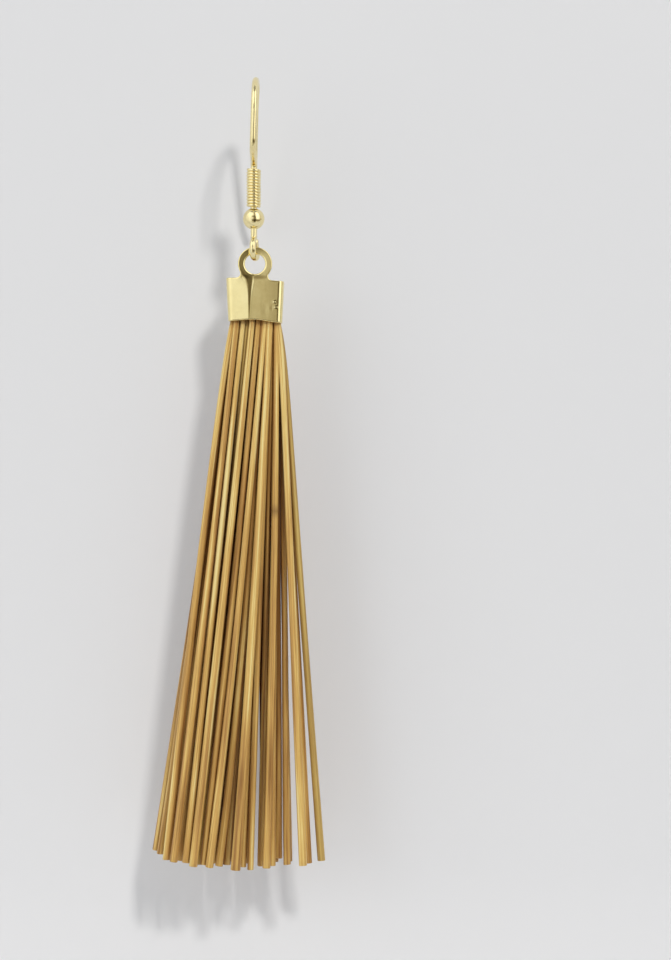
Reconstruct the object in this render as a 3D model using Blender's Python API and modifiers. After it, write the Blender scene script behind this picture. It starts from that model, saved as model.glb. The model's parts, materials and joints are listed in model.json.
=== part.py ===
"""A dangle earring: a wire ear hook with a wound sleeve and a bead, and a straw tassel in a folded cap.

Units are metres, +Z is up and the earring faces -Y. The origin is the underside of the hook's crown,
where the earring hangs. The shank, the bead and the eye hang straight below it, at x = 0 and y = 0.
The drop, which is the cap and its tassel, swings on the eye and is modelled about that pivot.
"""

import math
import random
from collections import namedtuple

import bmesh
import bpy
from mathutils import Matrix, Vector

# The ear wire
WIRE_RADIUS = 0.00034
HOOK_FRONT = 0.0043
HOOK_BACK = 0.0023
HOOK_DROP = 0.00855
BOW_LEAN = 0.0007
BOW_RISE = 0.0008
BOW_FOOT_RADIUS = 0.0017
SHANK_BEND_RADIUS = 0.0006
TAIL_DROP = 0.0145
TAIL_BACK = 0.0061
TAIL_FLARE_LENGTH = 0.0024
TAIL_FLARE_BACK = 0.0012
TAIL_FLARE_RADIUS = 0.004

# The eye at the foot of the wire, wound on until its end lies beside its first stretch
NECK_LENGTH = 0.0007
EYE_RADIUS = 0.00095
EYE_BEND_RADIUS = 0.00045
EYE_OVERLAP_ANGLE = math.radians(130)
EYE_OVERLAP_GAP = 0.0001

# What is threaded on the shank
THREAD_GAP = 0.0001
COIL_WIRE_RADIUS = 0.00015
COIL_TURN_GAP = 0.00003
COIL_LENGTH = 0.00415
BEAD_RADIUS = 0.00113

# The cap, folded from one sheet, with its ring tab
SHEET = 0.00025
RING_RADIUS = 0.0018
RING_HOLE_RADIUS = 0.00108
RING_RISE = 0.0015
RING_FILLET = 0.00035
HANG_GAP = 0.0001
CAP_WIDTH = 0.0061
CAP_DEPTH = 0.0026
CAP_HEIGHT = 0.00445
CAP_FOLD_RADIUS = 0.00045
CAP_SHOULDER_DROP = 0.0002
CAP_MOUTH_ARCH = 0.0002
CAP_MOUTH_PINCH = 0.0002
CAP_SEAM = 0.00015

# The tassel
HEAD_GAP = 0.00007
HEAD_BELOW_TOP = 0.0006
HEAD_ABOVE_MOUTH = 0.0004
STEM_GRIP = 0.0015
STEM_MOUTH_RADIUS = 0.00029
STEM_FOOT_RADIUS = 0.00046
TASSEL_LENGTH = 0.0569
FOOT_HALF_WIDTH = 0.0106
FOOT_HALF_DEPTH = 0.0032
STEM_BOW = 0.0007
TRIM_RISE = 0.0015
TRIM_SCATTER = 0.0002

# Where each stem ends, left to right, as shares of FOOT_HALF_WIDTH. The stems of a row leave the
# mouth side by side. Depth is the row's share of FOOT_HALF_DEPTH at the feet.
StemRow = namedtuple("StemRow", "name depth feet")
STEM_ROWS = (
    StemRow("front", -1.0, (-0.89, -0.82, -0.70, -0.63, -0.57, -0.51, -0.05, 0.10, 0.46, 0.64)),
    StemRow("middle", 0.0, (-0.94, -0.76, -0.67, -0.61, -0.55, -0.47, -0.38, -0.23, -0.12, 0.03, 0.31, 0.53)),
    StemRow("back", 1.0, (-0.98, -0.87, -0.73, -0.60, -0.50, -0.40, -0.34, -0.28, -0.10, 0.04, 0.16, 0.23)),
)
ROW_STAGGERS = (-0.33, 0.0, 0.33)
FOOT_ROUNDNESS = 0.75

# Facets
ARC_STEP = math.radians(15)
COIL_STEPS = 12
BEAD_STEPS = 24
PLATE_STEPS = 8
HEAD_CORNER_STEPS = 3
STEM_SECTIONS = 9
WELD = 1e-6
TAB_THINNING = 0.00001

Corner = namedtuple("Corner", "place radius")


def wall_of_eye():
    """How far the eye's inner wall lies above the pivot where the ring tab's faces meet it."""
    inner = EYE_RADIUS - WIRE_RADIUS
    return EYE_RADIUS - math.sqrt(inner**2 - (SHEET / 2) ** 2)


CROWN_Z = WIRE_RADIUS
SHANK_TOP = CROWN_Z - HOOK_DROP
BORE_RADIUS = WIRE_RADIUS + THREAD_GAP
BEAD_HALF_HEIGHT = math.sqrt(BEAD_RADIUS**2 - BORE_RADIUS**2)
COIL_TOP = SHANK_TOP - SHANK_BEND_RADIUS
COIL_BOTTOM = COIL_TOP - COIL_LENGTH
BEAD_Z = COIL_BOTTOM - THREAD_GAP - BEAD_HALF_HEIGHT
NECK_FOOT = BEAD_Z - BEAD_RADIUS - NECK_LENGTH
EYE_START = math.asin(EYE_BEND_RADIUS / (EYE_RADIUS + EYE_BEND_RADIUS))
EYE_Z = NECK_FOOT - (EYE_RADIUS + EYE_BEND_RADIUS) * math.cos(EYE_START)
PIVOT = Vector((0, 0, EYE_Z - EYE_RADIUS))

# Heights below are measured from the pivot
RING_Z = wall_of_eye() + HANG_GAP - RING_HOLE_RADIUS
CAP_TOP = RING_Z - RING_RISE
CAP_MOUTH = CAP_TOP - CAP_HEIGHT
CAP_MIDDLE_Y = (CAP_DEPTH - SHEET) / 2


def clear_scene():
    for obj in list(bpy.data.objects):
        bpy.data.objects.remove(obj, do_unlink=True)


def new_collection(name):
    collection = bpy.data.collections.new(name)
    bpy.context.scene.collection.children.link(collection)
    return collection


def new_material(name, color, roughness, metallic):
    material = bpy.data.materials.new(name)
    material.use_nodes = True
    shader = material.node_tree.nodes["Principled BSDF"]
    shader.inputs["Base Color"].default_value = (*color, 1.0)
    shader.inputs["Roughness"].default_value = roughness
    shader.inputs["Metallic"].default_value = metallic
    return material


def arc(centre, radius, start, end):
    """Points of an arc in a plane, angles measured from the first axis towards the second."""
    steps = max(2, math.ceil(abs(end - start) / ARC_STEP))
    angles = [start + (end - start) * step / steps for step in range(steps + 1)]
    return [centre + radius * Vector((math.cos(a), math.sin(a))) for a in angles]


def filleted(corners):
    """A route through the corners, straight between them and rounded at each by its radius."""
    points = [corners[0].place]
    for before, corner, after in zip(corners, corners[1:], corners[2:]):
        back = (before.place - corner.place).normalized()
        on = (after.place - corner.place).normalized()
        turn = math.pi - back.angle(on)
        centre = corner.place + (back + on).normalized() * corner.radius / math.cos(turn / 2)
        start = corner.place + back * corner.radius * math.tan(turn / 2) - centre
        side = 1 if back.x * on.y - back.y * on.x < 0 else -1
        first = math.atan2(start.y, start.x)
        points += arc(centre, corner.radius, first, first + side * turn)
    return points + [corners[-1].place]


def add_object(name, data, collection, parent=None):
    obj = bpy.data.objects.new(name, data)
    collection.objects.link(obj)
    obj.parent = parent
    return obj


def add_empty(name, collection, location):
    empty = add_object(name, None, collection)
    empty.location = location
    return empty


def finish_piece(obj, material):
    obj.data.materials.append(material)
    obj.data.shade_smooth()
    obj.data.set_sharp_from_angle(angle=math.radians(40))


def wire_curve(name, routes, bevel_radius, resolution, collection):
    """A curve of round wire. Each route is a list of places, with a share of the radius at each."""
    curve = bpy.data.curves.new(name, "CURVE")
    curve.dimensions = "3D"
    curve.bevel_depth = bevel_radius
    curve.bevel_resolution = resolution
    curve.use_fill_caps = True
    for route in routes:
        spline = curve.splines.new("POLY")
        spline.points.add(len(route) - 1)
        for point, (place, share) in zip(spline.points, route):
            point.co = (*place, 1)
            point.radius = share
    return add_object(name, curve, collection)


def as_mesh(obj, collection, parent=None):
    """The curve's evaluated shape as a mesh object of the same name, with its caps welded on."""
    name = obj.name
    graph = bpy.context.evaluated_depsgraph_get()
    mesh = bpy.data.meshes.new_from_object(obj.evaluated_get(graph))
    welded = bmesh.new()
    welded.from_mesh(mesh)
    bmesh.ops.remove_doubles(welded, verts=welded.verts, dist=WELD)
    welded.to_mesh(mesh)
    welded.free()
    matrix = obj.matrix_world.copy()
    bpy.data.objects.remove(obj, do_unlink=True)
    result = add_object(name, mesh, collection, parent)
    mesh.transform(matrix)
    return result


def hide_cutter(obj):
    obj.hide_render = True
    obj.display_type = "WIRE"


def join_with(obj, other):
    union = obj.modifiers.new(f"join {other.name}", "BOOLEAN")
    union.operation = "UNION"
    union.solver = "EXACT"
    union.use_self = True
    union.object = other
    hide_cutter(other)


def hook_corners():
    """The side view of the wire, as (y, z), from the tail's tip over the crown to the neck's foot."""
    crown_back = Vector((HOOK_BACK, CROWN_Z))
    crown_front = Vector((-HOOK_FRONT, CROWN_Z))
    tail_tip = Vector((TAIL_BACK + TAIL_FLARE_BACK, CROWN_Z - TAIL_DROP))
    tail_flare = Vector((TAIL_BACK, CROWN_Z - TAIL_DROP + TAIL_FLARE_LENGTH))
    bow_foot = Vector((-HOOK_FRONT + BOW_LEAN, SHANK_TOP + BOW_RISE))
    along = Vector((1, 0))
    back_turn = along.angle(tail_flare - crown_back)
    front_turn = along.angle(crown_front - bow_foot)
    crown_radius = (HOOK_FRONT + HOOK_BACK) / (math.tan(back_turn / 2) + math.tan(front_turn / 2))
    return [
        Corner(tail_tip, 0),
        Corner(tail_flare, TAIL_FLARE_RADIUS),
        Corner(crown_back, crown_radius),
        Corner(crown_front, crown_radius),
        Corner(bow_foot, BOW_FOOT_RADIUS),
        Corner(Vector((0, SHANK_TOP)), SHANK_BEND_RADIUS),
        Corner(Vector((0, NECK_FOOT)), 0),
    ]


def eye_route():
    """The wire's last stretch: a tight bend forward, then down round the eye and on past its start.

    Over the second half turn the wire drifts sideways, so that its end lies beside the first stretch.
    """
    top = math.pi / 2
    bend_centre = Vector((-EYE_BEND_RADIUS, NECK_FOOT))
    bend = arc(bend_centre, EYE_BEND_RADIUS, 0, EYE_START - top)
    full = 2 * math.pi + EYE_OVERLAP_ANGLE
    loop = arc(Vector((0, EYE_Z)), EYE_RADIUS, top + EYE_START, top + full)
    drift = 2 * WIRE_RADIUS + EYE_OVERLAP_GAP
    route = [Vector((0, point.x, point.y)) for point in bend[1:]]
    for index, point in enumerate(loop[1:], start=1):
        turned = EYE_START + (full - EYE_START) * index / (len(loop) - 1)
        late = min(max(turned / math.pi - 1, 0), 1)
        route.append(Vector((drift * late**2 * (3 - 2 * late), point.x, point.y)))
    return route


def make_ear_hook(collection, parent, material):
    places = [Vector((0, point.x, point.y)) for point in filleted(hook_corners())] + eye_route()
    route = [(place, 1) for place in places]
    hook = as_mesh(wire_curve("ear_hook", [route], WIRE_RADIUS, 2, collection), collection, parent)
    finish_piece(hook, material)


def make_coil(collection, parent, material):
    """Fine wire wound round the shank, its turns almost touching."""
    radius = BORE_RADIUS + COIL_WIRE_RADIUS
    pitch = 2 * COIL_WIRE_RADIUS + COIL_TURN_GAP
    rise = COIL_LENGTH - 2 * COIL_WIRE_RADIUS
    steps = math.floor(rise / pitch * COIL_STEPS)
    route = []
    for step in range(steps + 1):
        angle = 2 * math.pi * step / COIL_STEPS
        height = COIL_TOP - COIL_WIRE_RADIUS - rise * step / steps
        route.append((Vector((radius * math.cos(angle), radius * math.sin(angle), height)), 1))
    wound = wire_curve("hook_coil", [route], COIL_WIRE_RADIUS, 1, collection)
    finish_piece(as_mesh(wound, collection, parent), material)


def make_bead(collection, parent, material):
    """A drilled ball: its outside from pole to pole, then the bore, turned about the shank."""
    pole = math.atan2(BEAD_HALF_HEIGHT, BORE_RADIUS)
    outside = arc(Vector((0, 0)), BEAD_RADIUS, pole, -pole)
    mesh = bpy.data.meshes.new("hook_bead")
    edges = [(i, (i + 1) % len(outside)) for i in range(len(outside))]
    mesh.from_pydata([(point.x, 0, point.y) for point in outside], edges, [])
    bead = add_object("hook_bead", mesh, collection, parent)
    bead.location = (0, 0, BEAD_Z)
    turned = bead.modifiers.new("turn", "SCREW")
    turned.steps = BEAD_STEPS
    turned.render_steps = BEAD_STEPS
    turned.use_merge_vertices = True
    turned.merge_threshold = WELD
    finish_piece(bead, material)


def ring_outline():
    """The ring tab's outline, as (x, z) from the ring's centre, filleted into the plate's top."""
    fillet_z = RING_FILLET - RING_RISE
    reach = RING_RADIUS + RING_FILLET
    fillet_x = math.sqrt(reach**2 - fillet_z**2)
    meet = math.atan2(fillet_z, fillet_x)
    down = -math.pi / 2
    root = -RING_RISE - 2 * SHEET
    right = arc(Vector((fillet_x, fillet_z)), RING_FILLET, down, meet - math.pi)
    left = [Vector((-point.x, point.y)) for point in reversed(right)]
    ring = arc(Vector((0, 0)), RING_RADIUS, meet, math.pi - meet)
    return [Vector((fillet_x, root))] + right + ring[1:-1] + left + [Vector((-fillet_x, root))]


def make_ring_tab(cutters):
    """The flat ring with its foot sunk in the front plate, thinner than the sheet by a hair."""
    curve = bpy.data.curves.new("ring_tab", "CURVE")
    curve.dimensions = "2D"
    curve.fill_mode = "BOTH"
    curve.extrude = (SHEET - TAB_THINNING) / 2
    hole = arc(Vector((0, 0)), RING_HOLE_RADIUS, 0, 2 * math.pi)[:-1]
    for outline in (ring_outline(), hole):
        spline = curve.splines.new("POLY")
        spline.points.add(len(outline) - 1)
        spline.use_cyclic_u = True
        for point, place in zip(spline.points, outline):
            point.co = (*place, 0, 1)
    tab = add_object("ring_tab", curve, cutters)
    tab.matrix_world = Matrix.Translation((0, 0, RING_Z)) @ Matrix.Rotation(math.pi / 2, 4, "X")
    bpy.context.view_layer.update()
    return as_mesh(tab, cutters)


def cap_section():
    """The sheet's middle line seen from above: out from the back seam, round, and back to it."""
    side = (CAP_WIDTH - SHEET) / 2
    back = CAP_DEPTH - SHEET
    lip = CAP_SEAM / 2
    fold = CAP_FOLD_RADIUS
    return filleted([
        Corner(Vector((lip, back)), 0),
        Corner(Vector((side, back)), fold),
        Corner(Vector((side, 0)), fold),
        Corner(Vector((-side, 0)), fold),
        Corner(Vector((-side, back)), fold),
        Corner(Vector((-lip, back)), 0),
    ])


def with_front_points(section, count):
    """The section with its long front run divided, so that the plate's edges can curve."""
    runs = [(b - a).length for a, b in zip(section, section[1:])]
    longest = runs.index(max(runs))
    start, end = section[longest], section[longest + 1]
    between = [start.lerp(end, step / count) for step in range(1, count)]
    return section[: longest + 1] + between + section[longest + 1 :]


def make_cap(collection, cutters, parent, material):
    """Front plate and folded wings as one bent sheet, joined to the ring tab."""
    section = with_front_points(cap_section(), PLATE_STEPS)
    side = (CAP_WIDTH - SHEET) / 2
    foot = math.sqrt((RING_RADIUS + RING_FILLET) ** 2 - (RING_RISE - RING_FILLET) ** 2)
    shape = bmesh.new()
    columns = []
    for point in section:
        slope = max(0.0, abs(point.x) - foot) / (side - foot) if point.y < CAP_MIDDLE_Y else 1.0
        arch = 1 - (point.x / side) ** 2 if point.y < CAP_MIDDLE_Y else 0.0
        top = shape.verts.new((point.x, point.y, CAP_TOP - CAP_SHOULDER_DROP * slope))
        pinched = point.x * (1 - CAP_MOUTH_PINCH / side)
        bottom = shape.verts.new((pinched, point.y, CAP_MOUTH + CAP_MOUTH_ARCH * arch))
        columns.append((top, bottom))
    for (top, bottom), (next_top, next_bottom) in zip(columns, columns[1:]):
        shape.faces.new((top, bottom, next_bottom, next_top))
    mesh = bpy.data.meshes.new("tassel_cap")
    shape.to_mesh(mesh)
    shape.free()
    cap = add_object("tassel_cap", mesh, collection, parent)
    wall = cap.modifiers.new("wall", "SOLIDIFY")
    wall.thickness = SHEET
    wall.offset = 0
    wall.use_even_offset = True
    tab = make_ring_tab(cutters)
    tab.parent = parent
    join_with(cap, tab)
    finish_piece(cap, material)


def stem_route(row, index, rng):
    """One stem from inside the head to its foot, as places with a share of the foot's radius."""
    count = len(row.feet)
    slot = 2 * index / (count - 1) - 1
    inner_width = CAP_WIDTH / 2 - CAP_MOUTH_PINCH - SHEET - HEAD_GAP - STEM_MOUTH_RADIUS
    inner_depth = CAP_DEPTH / 2 - SHEET - HEAD_GAP - STEM_MOUTH_RADIUS
    mouth = Vector((slot * inner_width, CAP_MIDDLE_Y + row.depth * inner_depth, CAP_MOUTH))
    share = row.feet[index]
    round_off = math.sqrt(1 - (FOOT_ROUNDNESS * share) ** 2)
    depth = (row.depth + ROW_STAGGERS[index % len(ROW_STAGGERS)]) * round_off
    rise = TRIM_RISE * share**2 + rng.uniform(-TRIM_SCATTER, TRIM_SCATTER)
    foot = Vector((
        share * FOOT_HALF_WIDTH,
        CAP_MIDDLE_Y + depth * FOOT_HALF_DEPTH,
        CAP_MOUTH - TASSEL_LENGTH + rise,
    ))
    bow = STEM_BOW * (1 - slot**2) * (1 + slot)
    grip = STEM_GRIP / TASSEL_LENGTH
    route = []
    for section in range(STEM_SECTIONS + 1):
        along = -grip + (1 + grip) * section / STEM_SECTIONS
        place = mouth.lerp(foot, along)
        place.x += bow * math.sin(math.pi * max(0.0, along))
        radius = STEM_MOUTH_RADIUS + (STEM_FOOT_RADIUS - STEM_MOUTH_RADIUS) * max(0.0, along)
        route.append((place, radius / STEM_FOOT_RADIUS))
    return route


def make_tassel(collection, cutters, parent, material):
    """Stems in rows, fused to the block of glued ends that the cap holds."""
    rng = random.Random(5)
    routes = [stem_route(row, i, rng) for row in STEM_ROWS for i in range(len(row.feet))]
    stems = as_mesh(wire_curve("stems", routes, STEM_FOOT_RADIUS, 1, cutters), cutters)
    stems.parent = parent
    top = CAP_TOP - HEAD_BELOW_TOP
    bottom = CAP_MOUTH + HEAD_ABOVE_MOUTH
    size = (
        CAP_WIDTH - 2 * (CAP_MOUTH_PINCH + SHEET + HEAD_GAP),
        CAP_DEPTH - 2 * (SHEET + HEAD_GAP),
        top - bottom,
    )
    block = bmesh.new()
    bmesh.ops.create_cube(block, size=1)
    bmesh.ops.scale(block, vec=size, verts=block.verts)
    bmesh.ops.translate(block, vec=(0, CAP_MIDDLE_Y, (top + bottom) / 2), verts=block.verts)
    upright = [e for e in block.edges if abs(e.verts[0].co.z - e.verts[1].co.z) > size[2] / 2]
    bmesh.ops.bevel(
        block,
        geom=upright,
        offset=CAP_FOLD_RADIUS,
        segments=HEAD_CORNER_STEPS,
        profile=0.5,
        affect="EDGES",
    )
    mesh = bpy.data.meshes.new("grass_tassel")
    block.to_mesh(mesh)
    block.free()
    tassel = add_object("grass_tassel", mesh, collection, parent)
    join_with(tassel, stems)
    finish_piece(tassel, material)


def main():
    clear_scene()
    parts = new_collection("dangle_earring")
    cutters = new_collection("cutters")
    gold_wire = new_material("gold_wire", (0.83, 0.60, 0.24), 0.2, 1.0)
    gold_sheet = new_material("gold_sheet", (0.80, 0.62, 0.28), 0.12, 1.0)
    straw = new_material("straw", (0.62, 0.42, 0.15), 0.45, 0.0)
    ear_wire = add_empty("ear_wire", parts, (0, 0, 0))
    drop = add_empty("drop", parts, PIVOT)
    make_ear_hook(parts, ear_wire, gold_wire)
    make_coil(parts, ear_wire, gold_wire)
    make_bead(parts, ear_wire, gold_wire)
    make_cap(parts, cutters, drop, gold_sheet)
    make_tassel(parts, cutters, drop, straw)


main()
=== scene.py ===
"""A dangle earring as it hangs: gold ear wire, wound sleeve, bead, folded cap and straw tassel.

Lengths are metres, +Z is up and the earring faces -Y. Every piece is a surface worked out with
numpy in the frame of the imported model, and stands for the node of the same part.
"""

from __future__ import annotations

import json
import logging
import math
from dataclasses import dataclass, field
from enum import Enum

import bpy
import numpy as np
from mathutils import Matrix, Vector
from mathutils.geometry import delaunay_2d_cdt

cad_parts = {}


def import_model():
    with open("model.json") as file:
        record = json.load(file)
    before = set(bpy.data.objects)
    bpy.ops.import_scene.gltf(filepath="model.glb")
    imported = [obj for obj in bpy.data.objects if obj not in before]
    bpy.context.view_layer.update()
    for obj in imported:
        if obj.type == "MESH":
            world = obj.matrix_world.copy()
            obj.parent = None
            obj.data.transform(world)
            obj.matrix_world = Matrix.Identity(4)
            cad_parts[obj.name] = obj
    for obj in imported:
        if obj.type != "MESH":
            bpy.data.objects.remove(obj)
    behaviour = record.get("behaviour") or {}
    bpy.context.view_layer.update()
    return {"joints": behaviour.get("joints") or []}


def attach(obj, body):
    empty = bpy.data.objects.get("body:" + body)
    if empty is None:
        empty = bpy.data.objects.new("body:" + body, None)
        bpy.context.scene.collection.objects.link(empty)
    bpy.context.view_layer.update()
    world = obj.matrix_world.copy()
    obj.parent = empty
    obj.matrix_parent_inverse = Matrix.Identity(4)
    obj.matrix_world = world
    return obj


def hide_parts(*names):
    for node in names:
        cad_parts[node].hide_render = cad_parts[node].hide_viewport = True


LOG = logging.getLogger("earring")
MM = 0.001
FULL_TURN = 2.0 * math.pi
QUARTER_TURN = math.pi / 2


# Numbers and surfaces


def smooth_step(share: np.ndarray) -> np.ndarray:
    """Eases a share: 0 up to 0, 1 from 1 on, and 3s² - 2s³ between.

    Args:
        share: Any numbers.

    Returns:
        Numbers from 0 to 1, of the same shape.
    """
    held = np.clip(share, 0.0, 1.0)
    return held * held * (3.0 - 2.0 * held)


def unit(vectors: np.ndarray) -> np.ndarray:
    """Scales vectors to length 1: each is divided by the root of its summed squares.

    Args:
        vectors: Vectors in the last axis.

    Returns:
        Unit vectors, of the same shape.
    """
    return vectors / np.maximum(np.linalg.norm(vectors, axis=-1, keepdims=True), 1e-15)


@dataclass
class Surface:
    """Points and faces gathered for one mesh, with named numbers kept for each point."""

    points: list[np.ndarray] = field(default_factory=list)
    faces: list[np.ndarray] = field(default_factory=list)
    values: dict[str, list[np.ndarray]] = field(default_factory=dict)
    count: int = 0

    def add(
        self, points: np.ndarray, faces: list[np.ndarray], **values: np.ndarray | float
    ) -> None:
        """Adds points, faces that count from the first of them, and values for each point.

        Args:
            points: Places, three numbers in the last axis.
            faces: Arrays of point numbers, one row a face.
            **values: For each name one number a point, or one for all.
        """
        flat = points.reshape(-1, 3)
        self.points.append(flat)
        self.faces += [group + self.count for group in faces]
        for name, numbers in values.items():
            spread = np.broadcast_to(numbers, points.shape[:-1]).reshape(-1)
            self.values.setdefault(name, []).append(spread)
        self.count += len(flat)

    def piece(self, name: str) -> bpy.types.Object:
        """Puts everything gathered into one smooth mesh object, without points that no face uses.

        Args:
            name: The piece's name.

        Returns:
            The object, at the origin, with its values as attributes of its points.
        """
        points = np.concatenate(self.points)
        used = np.zeros(len(points), dtype=bool)
        for group in self.faces:
            used[group] = True
        renumber = np.cumsum(used) - 1
        corners = [row for group in self.faces for row in renumber[group].tolist()]
        mesh = bpy.data.meshes.new(name)
        mesh.from_pydata(points[used], [], corners)
        for value, parts in self.values.items():
            layer = mesh.attributes.new(value, "FLOAT", "POINT")
            layer.data.foreach_set("value", np.concatenate(parts)[used].astype(np.float32))
        mesh.update()
        mesh.shade_smooth()
        made = bpy.data.objects.new(name, mesh)
        bpy.context.scene.collection.objects.link(made)
        return made


def ring_faces(rings: int, sides: int) -> np.ndarray:
    """Quads between neighbouring rings of points, each ring closed on itself.

    Args:
        rings: How many rings there are.
        sides: How many points a ring has.

    Returns:
        One row of four point numbers a quad.
    """
    row = np.arange(rings - 1)[:, None] * sides
    side = np.arange(sides)[None, :]
    after = (side + 1) % sides
    quads = np.stack([row + side, row + after, row + sides + after, row + sides + side], axis=-1)
    return quads.reshape(-1, 4)


def fan_faces(centre: int, start: int, sides: int, reverse: bool) -> np.ndarray:
    """Triangles from a centre point to each side of a ring.

    Args:
        centre: The centre's point number.
        start: The ring's first point number.
        sides: How many points the ring has.
        reverse: Whether the triangles turn the other way.

    Returns:
        One row of three point numbers a triangle.
    """
    side = np.arange(sides)
    after = (side + 1) % sides
    first, last = (after, side) if reverse else (side, after)
    return np.stack([np.full(sides, centre), start + first, start + last], axis=-1)


def tangents(path: np.ndarray) -> np.ndarray:
    """Unit directions along a path, from the difference of each point's neighbours.

    Args:
        path: Points, along the last axis but one.

    Returns:
        One unit vector a point.
    """
    return unit(np.gradient(path, axis=-2))


def round_angles(sides: int) -> np.ndarray:
    """Evenly spaced angles of one turn, in radians, the first of them 0."""
    return np.linspace(0.0, FULL_TURN, sides, endpoint=False)


def round_section(
    path: np.ndarray, side: np.ndarray, radii: np.ndarray, sides: int
) -> np.ndarray:
    """Carries a round section along a path.

    A ring's points are the path's point plus radius * (cos a * p + sin a * q). Here p is the side
    vector with its part along the tangent taken off, and q is the tangent crossed with p.

    Args:
        path: Points of one path, or of several at once in leading axes.
        side: A vector that is never along the path, one for all or one a point.
        radii: The radius at each point, or at each point and side.
        sides: How many points a ring has.

    Returns:
        Rings of points, with axes for the point and the side before the last.
    """
    along = tangents(path)
    side = np.broadcast_to(side, path.shape)
    across = unit(side - along * np.sum(side * along, axis=-1, keepdims=True))
    third = np.cross(along, across)
    angle = round_angles(sides)[:, None]
    if radii.ndim < path.ndim:
        radii = np.broadcast_to(radii[..., None], (*path.shape[:-1], sides))
    spokes = np.cos(angle) * across[..., None, :] + np.sin(angle) * third[..., None, :]
    return path[..., None, :] + radii[..., None] * spokes


def add_rod(
    surface: Surface, path: np.ndarray, side: np.ndarray, radius: float, sides: int, blunt: float
) -> None:
    """Adds a round rod with rounded ends to a surface.

    Each end carries on by a quarter oval: at the angle t the section is cos t of the radius wide
    and lies sin t of the blunt length past the end.

    Args:
        surface: What the rod is added to.
        path: The rod's middle line.
        side: A vector never along the path, one for all or one a point.
        radius: The rod's radius.
        sides: How many points a ring has.
        blunt: How far the rounded ends stand out.
    """
    turn = np.radians([20.0, 40.0, 58.0, 74.0])
    along = tangents(path)
    head = path[0] - along[0] * blunt * np.sin(turn)[::-1, None]
    foot = path[-1] + along[-1] * blunt * np.sin(turn)[:, None]
    line = np.concatenate([head, path, foot])
    shares = np.concatenate([np.cos(turn)[::-1], np.ones(len(path)), np.cos(turn)])
    spread = np.broadcast_to(side, path.shape)
    sided = np.concatenate(
        [np.repeat(spread[:1], len(turn), 0), spread, np.repeat(spread[-1:], len(turn), 0)]
    )
    rings = round_section(line, sided, radius * shares, sides)
    tips = np.stack([path[0] - along[0] * blunt, path[-1] + along[-1] * blunt])
    count = rings.shape[0] * sides
    faces = [
        ring_faces(rings.shape[0], sides),
        fan_faces(count, 0, sides, reverse=True),
        fan_faces(count + 1, count - sides, sides, reverse=False),
    ]
    surface.add(np.concatenate([rings.reshape(-1, 3), tips]), faces)


def arc_points(
    centre: tuple[float, float], radius: float, start: float, end: float, step: float
) -> np.ndarray:
    """Points of an arc in a plane: the centre plus radius * (cos a, sin a).

    Args:
        centre: The arc's centre.
        radius: Its radius.
        start: The first angle, in radians.
        end: The last angle, in radians.
        step: The largest angle between two points.

    Returns:
        One row of two numbers a point.
    """
    count = max(2, math.ceil(abs(end - start) / step)) + 1
    angle = np.linspace(start, end, count)
    return np.stack([np.cos(angle), np.sin(angle)], axis=-1) * radius + np.asarray(centre)


def rounded_route(corners: list[tuple[float, float, float]], step: float) -> np.ndarray:
    """A plane route through corners, straight between them and rounded at each.

    The arc at a corner touches both sides: its centre lies on the half-way line between them, at
    the radius divided by the cosine of half the turn.

    Args:
        corners: Two numbers for the place and one for the radius, the ends with radius 0.
        step: The largest angle between two points of an arc.

    Returns:
        One row of two numbers a point.
    """
    places = np.array([corner[:2] for corner in corners])
    parts = [places[:1]]
    for before, place, after, corner in zip(places, places[1:], places[2:], corners[1:]):
        back, on = unit(before - place), unit(after - place)
        turn = math.pi - math.acos(float(np.clip(back @ on, -1.0, 1.0)))
        centre = place + unit(back + on) * corner[2] / math.cos(turn / 2)
        start = place + back * corner[2] * math.tan(turn / 2) - centre
        side = 1.0 if back[0] * on[1] - back[1] * on[0] < 0 else -1.0
        first = math.atan2(start[1], start[0])
        parts.append(arc_points(tuple(centre), corner[2], first, first + side * turn, step))
    return np.concatenate([*parts, places[-1:]])


def read_along(path: np.ndarray, reads: np.ndarray, run: np.ndarray) -> np.ndarray:
    """Reads a path at given lengths along it, straight between its points.

    Args:
        path: The path's points.
        reads: The lengths.
        run: How far along it each of its points lies.

    Returns:
        One row a length.
    """
    return np.column_stack([np.interp(reads, run, numbers) for numbers in path.T])


def length_along(path: np.ndarray) -> np.ndarray:
    """How far along a path each of its points lies: the running sum of its steps' lengths."""
    return np.concatenate([[0.0], np.cumsum(np.linalg.norm(np.diff(path, axis=0), axis=1))])


def even_path(path: np.ndarray, spacing: float, softness: float) -> np.ndarray:
    """Spaces a path's points evenly and softens its turns.

    The path is read at equal steps of its length, and each point then becomes the mean of its
    neighbours, weighted by a bell curve. The ends are held by mirroring the path about them.

    Args:
        path: The path's points.
        spacing: The step along it.
        softness: The bell curve's width.

    Returns:
        The new points.
    """
    run = length_along(path)
    reads = np.linspace(0.0, run[-1], max(2, round(run[-1] / spacing)) + 1)
    even = read_along(path, reads, run)
    reach = max(1, round(3 * softness / spacing))
    bell = np.exp(-0.5 * (np.arange(-reach, reach + 1) * spacing / softness) ** 2)
    bell /= bell.sum()
    before = 2 * even[0] - even[reach:0:-1]
    after = 2 * even[-1] - even[-2 : -reach - 2 : -1]
    held = np.concatenate([before, even, after])
    return np.column_stack([np.convolve(numbers, bell, "valid") for numbers in held.T])


# Shader nodes


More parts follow.
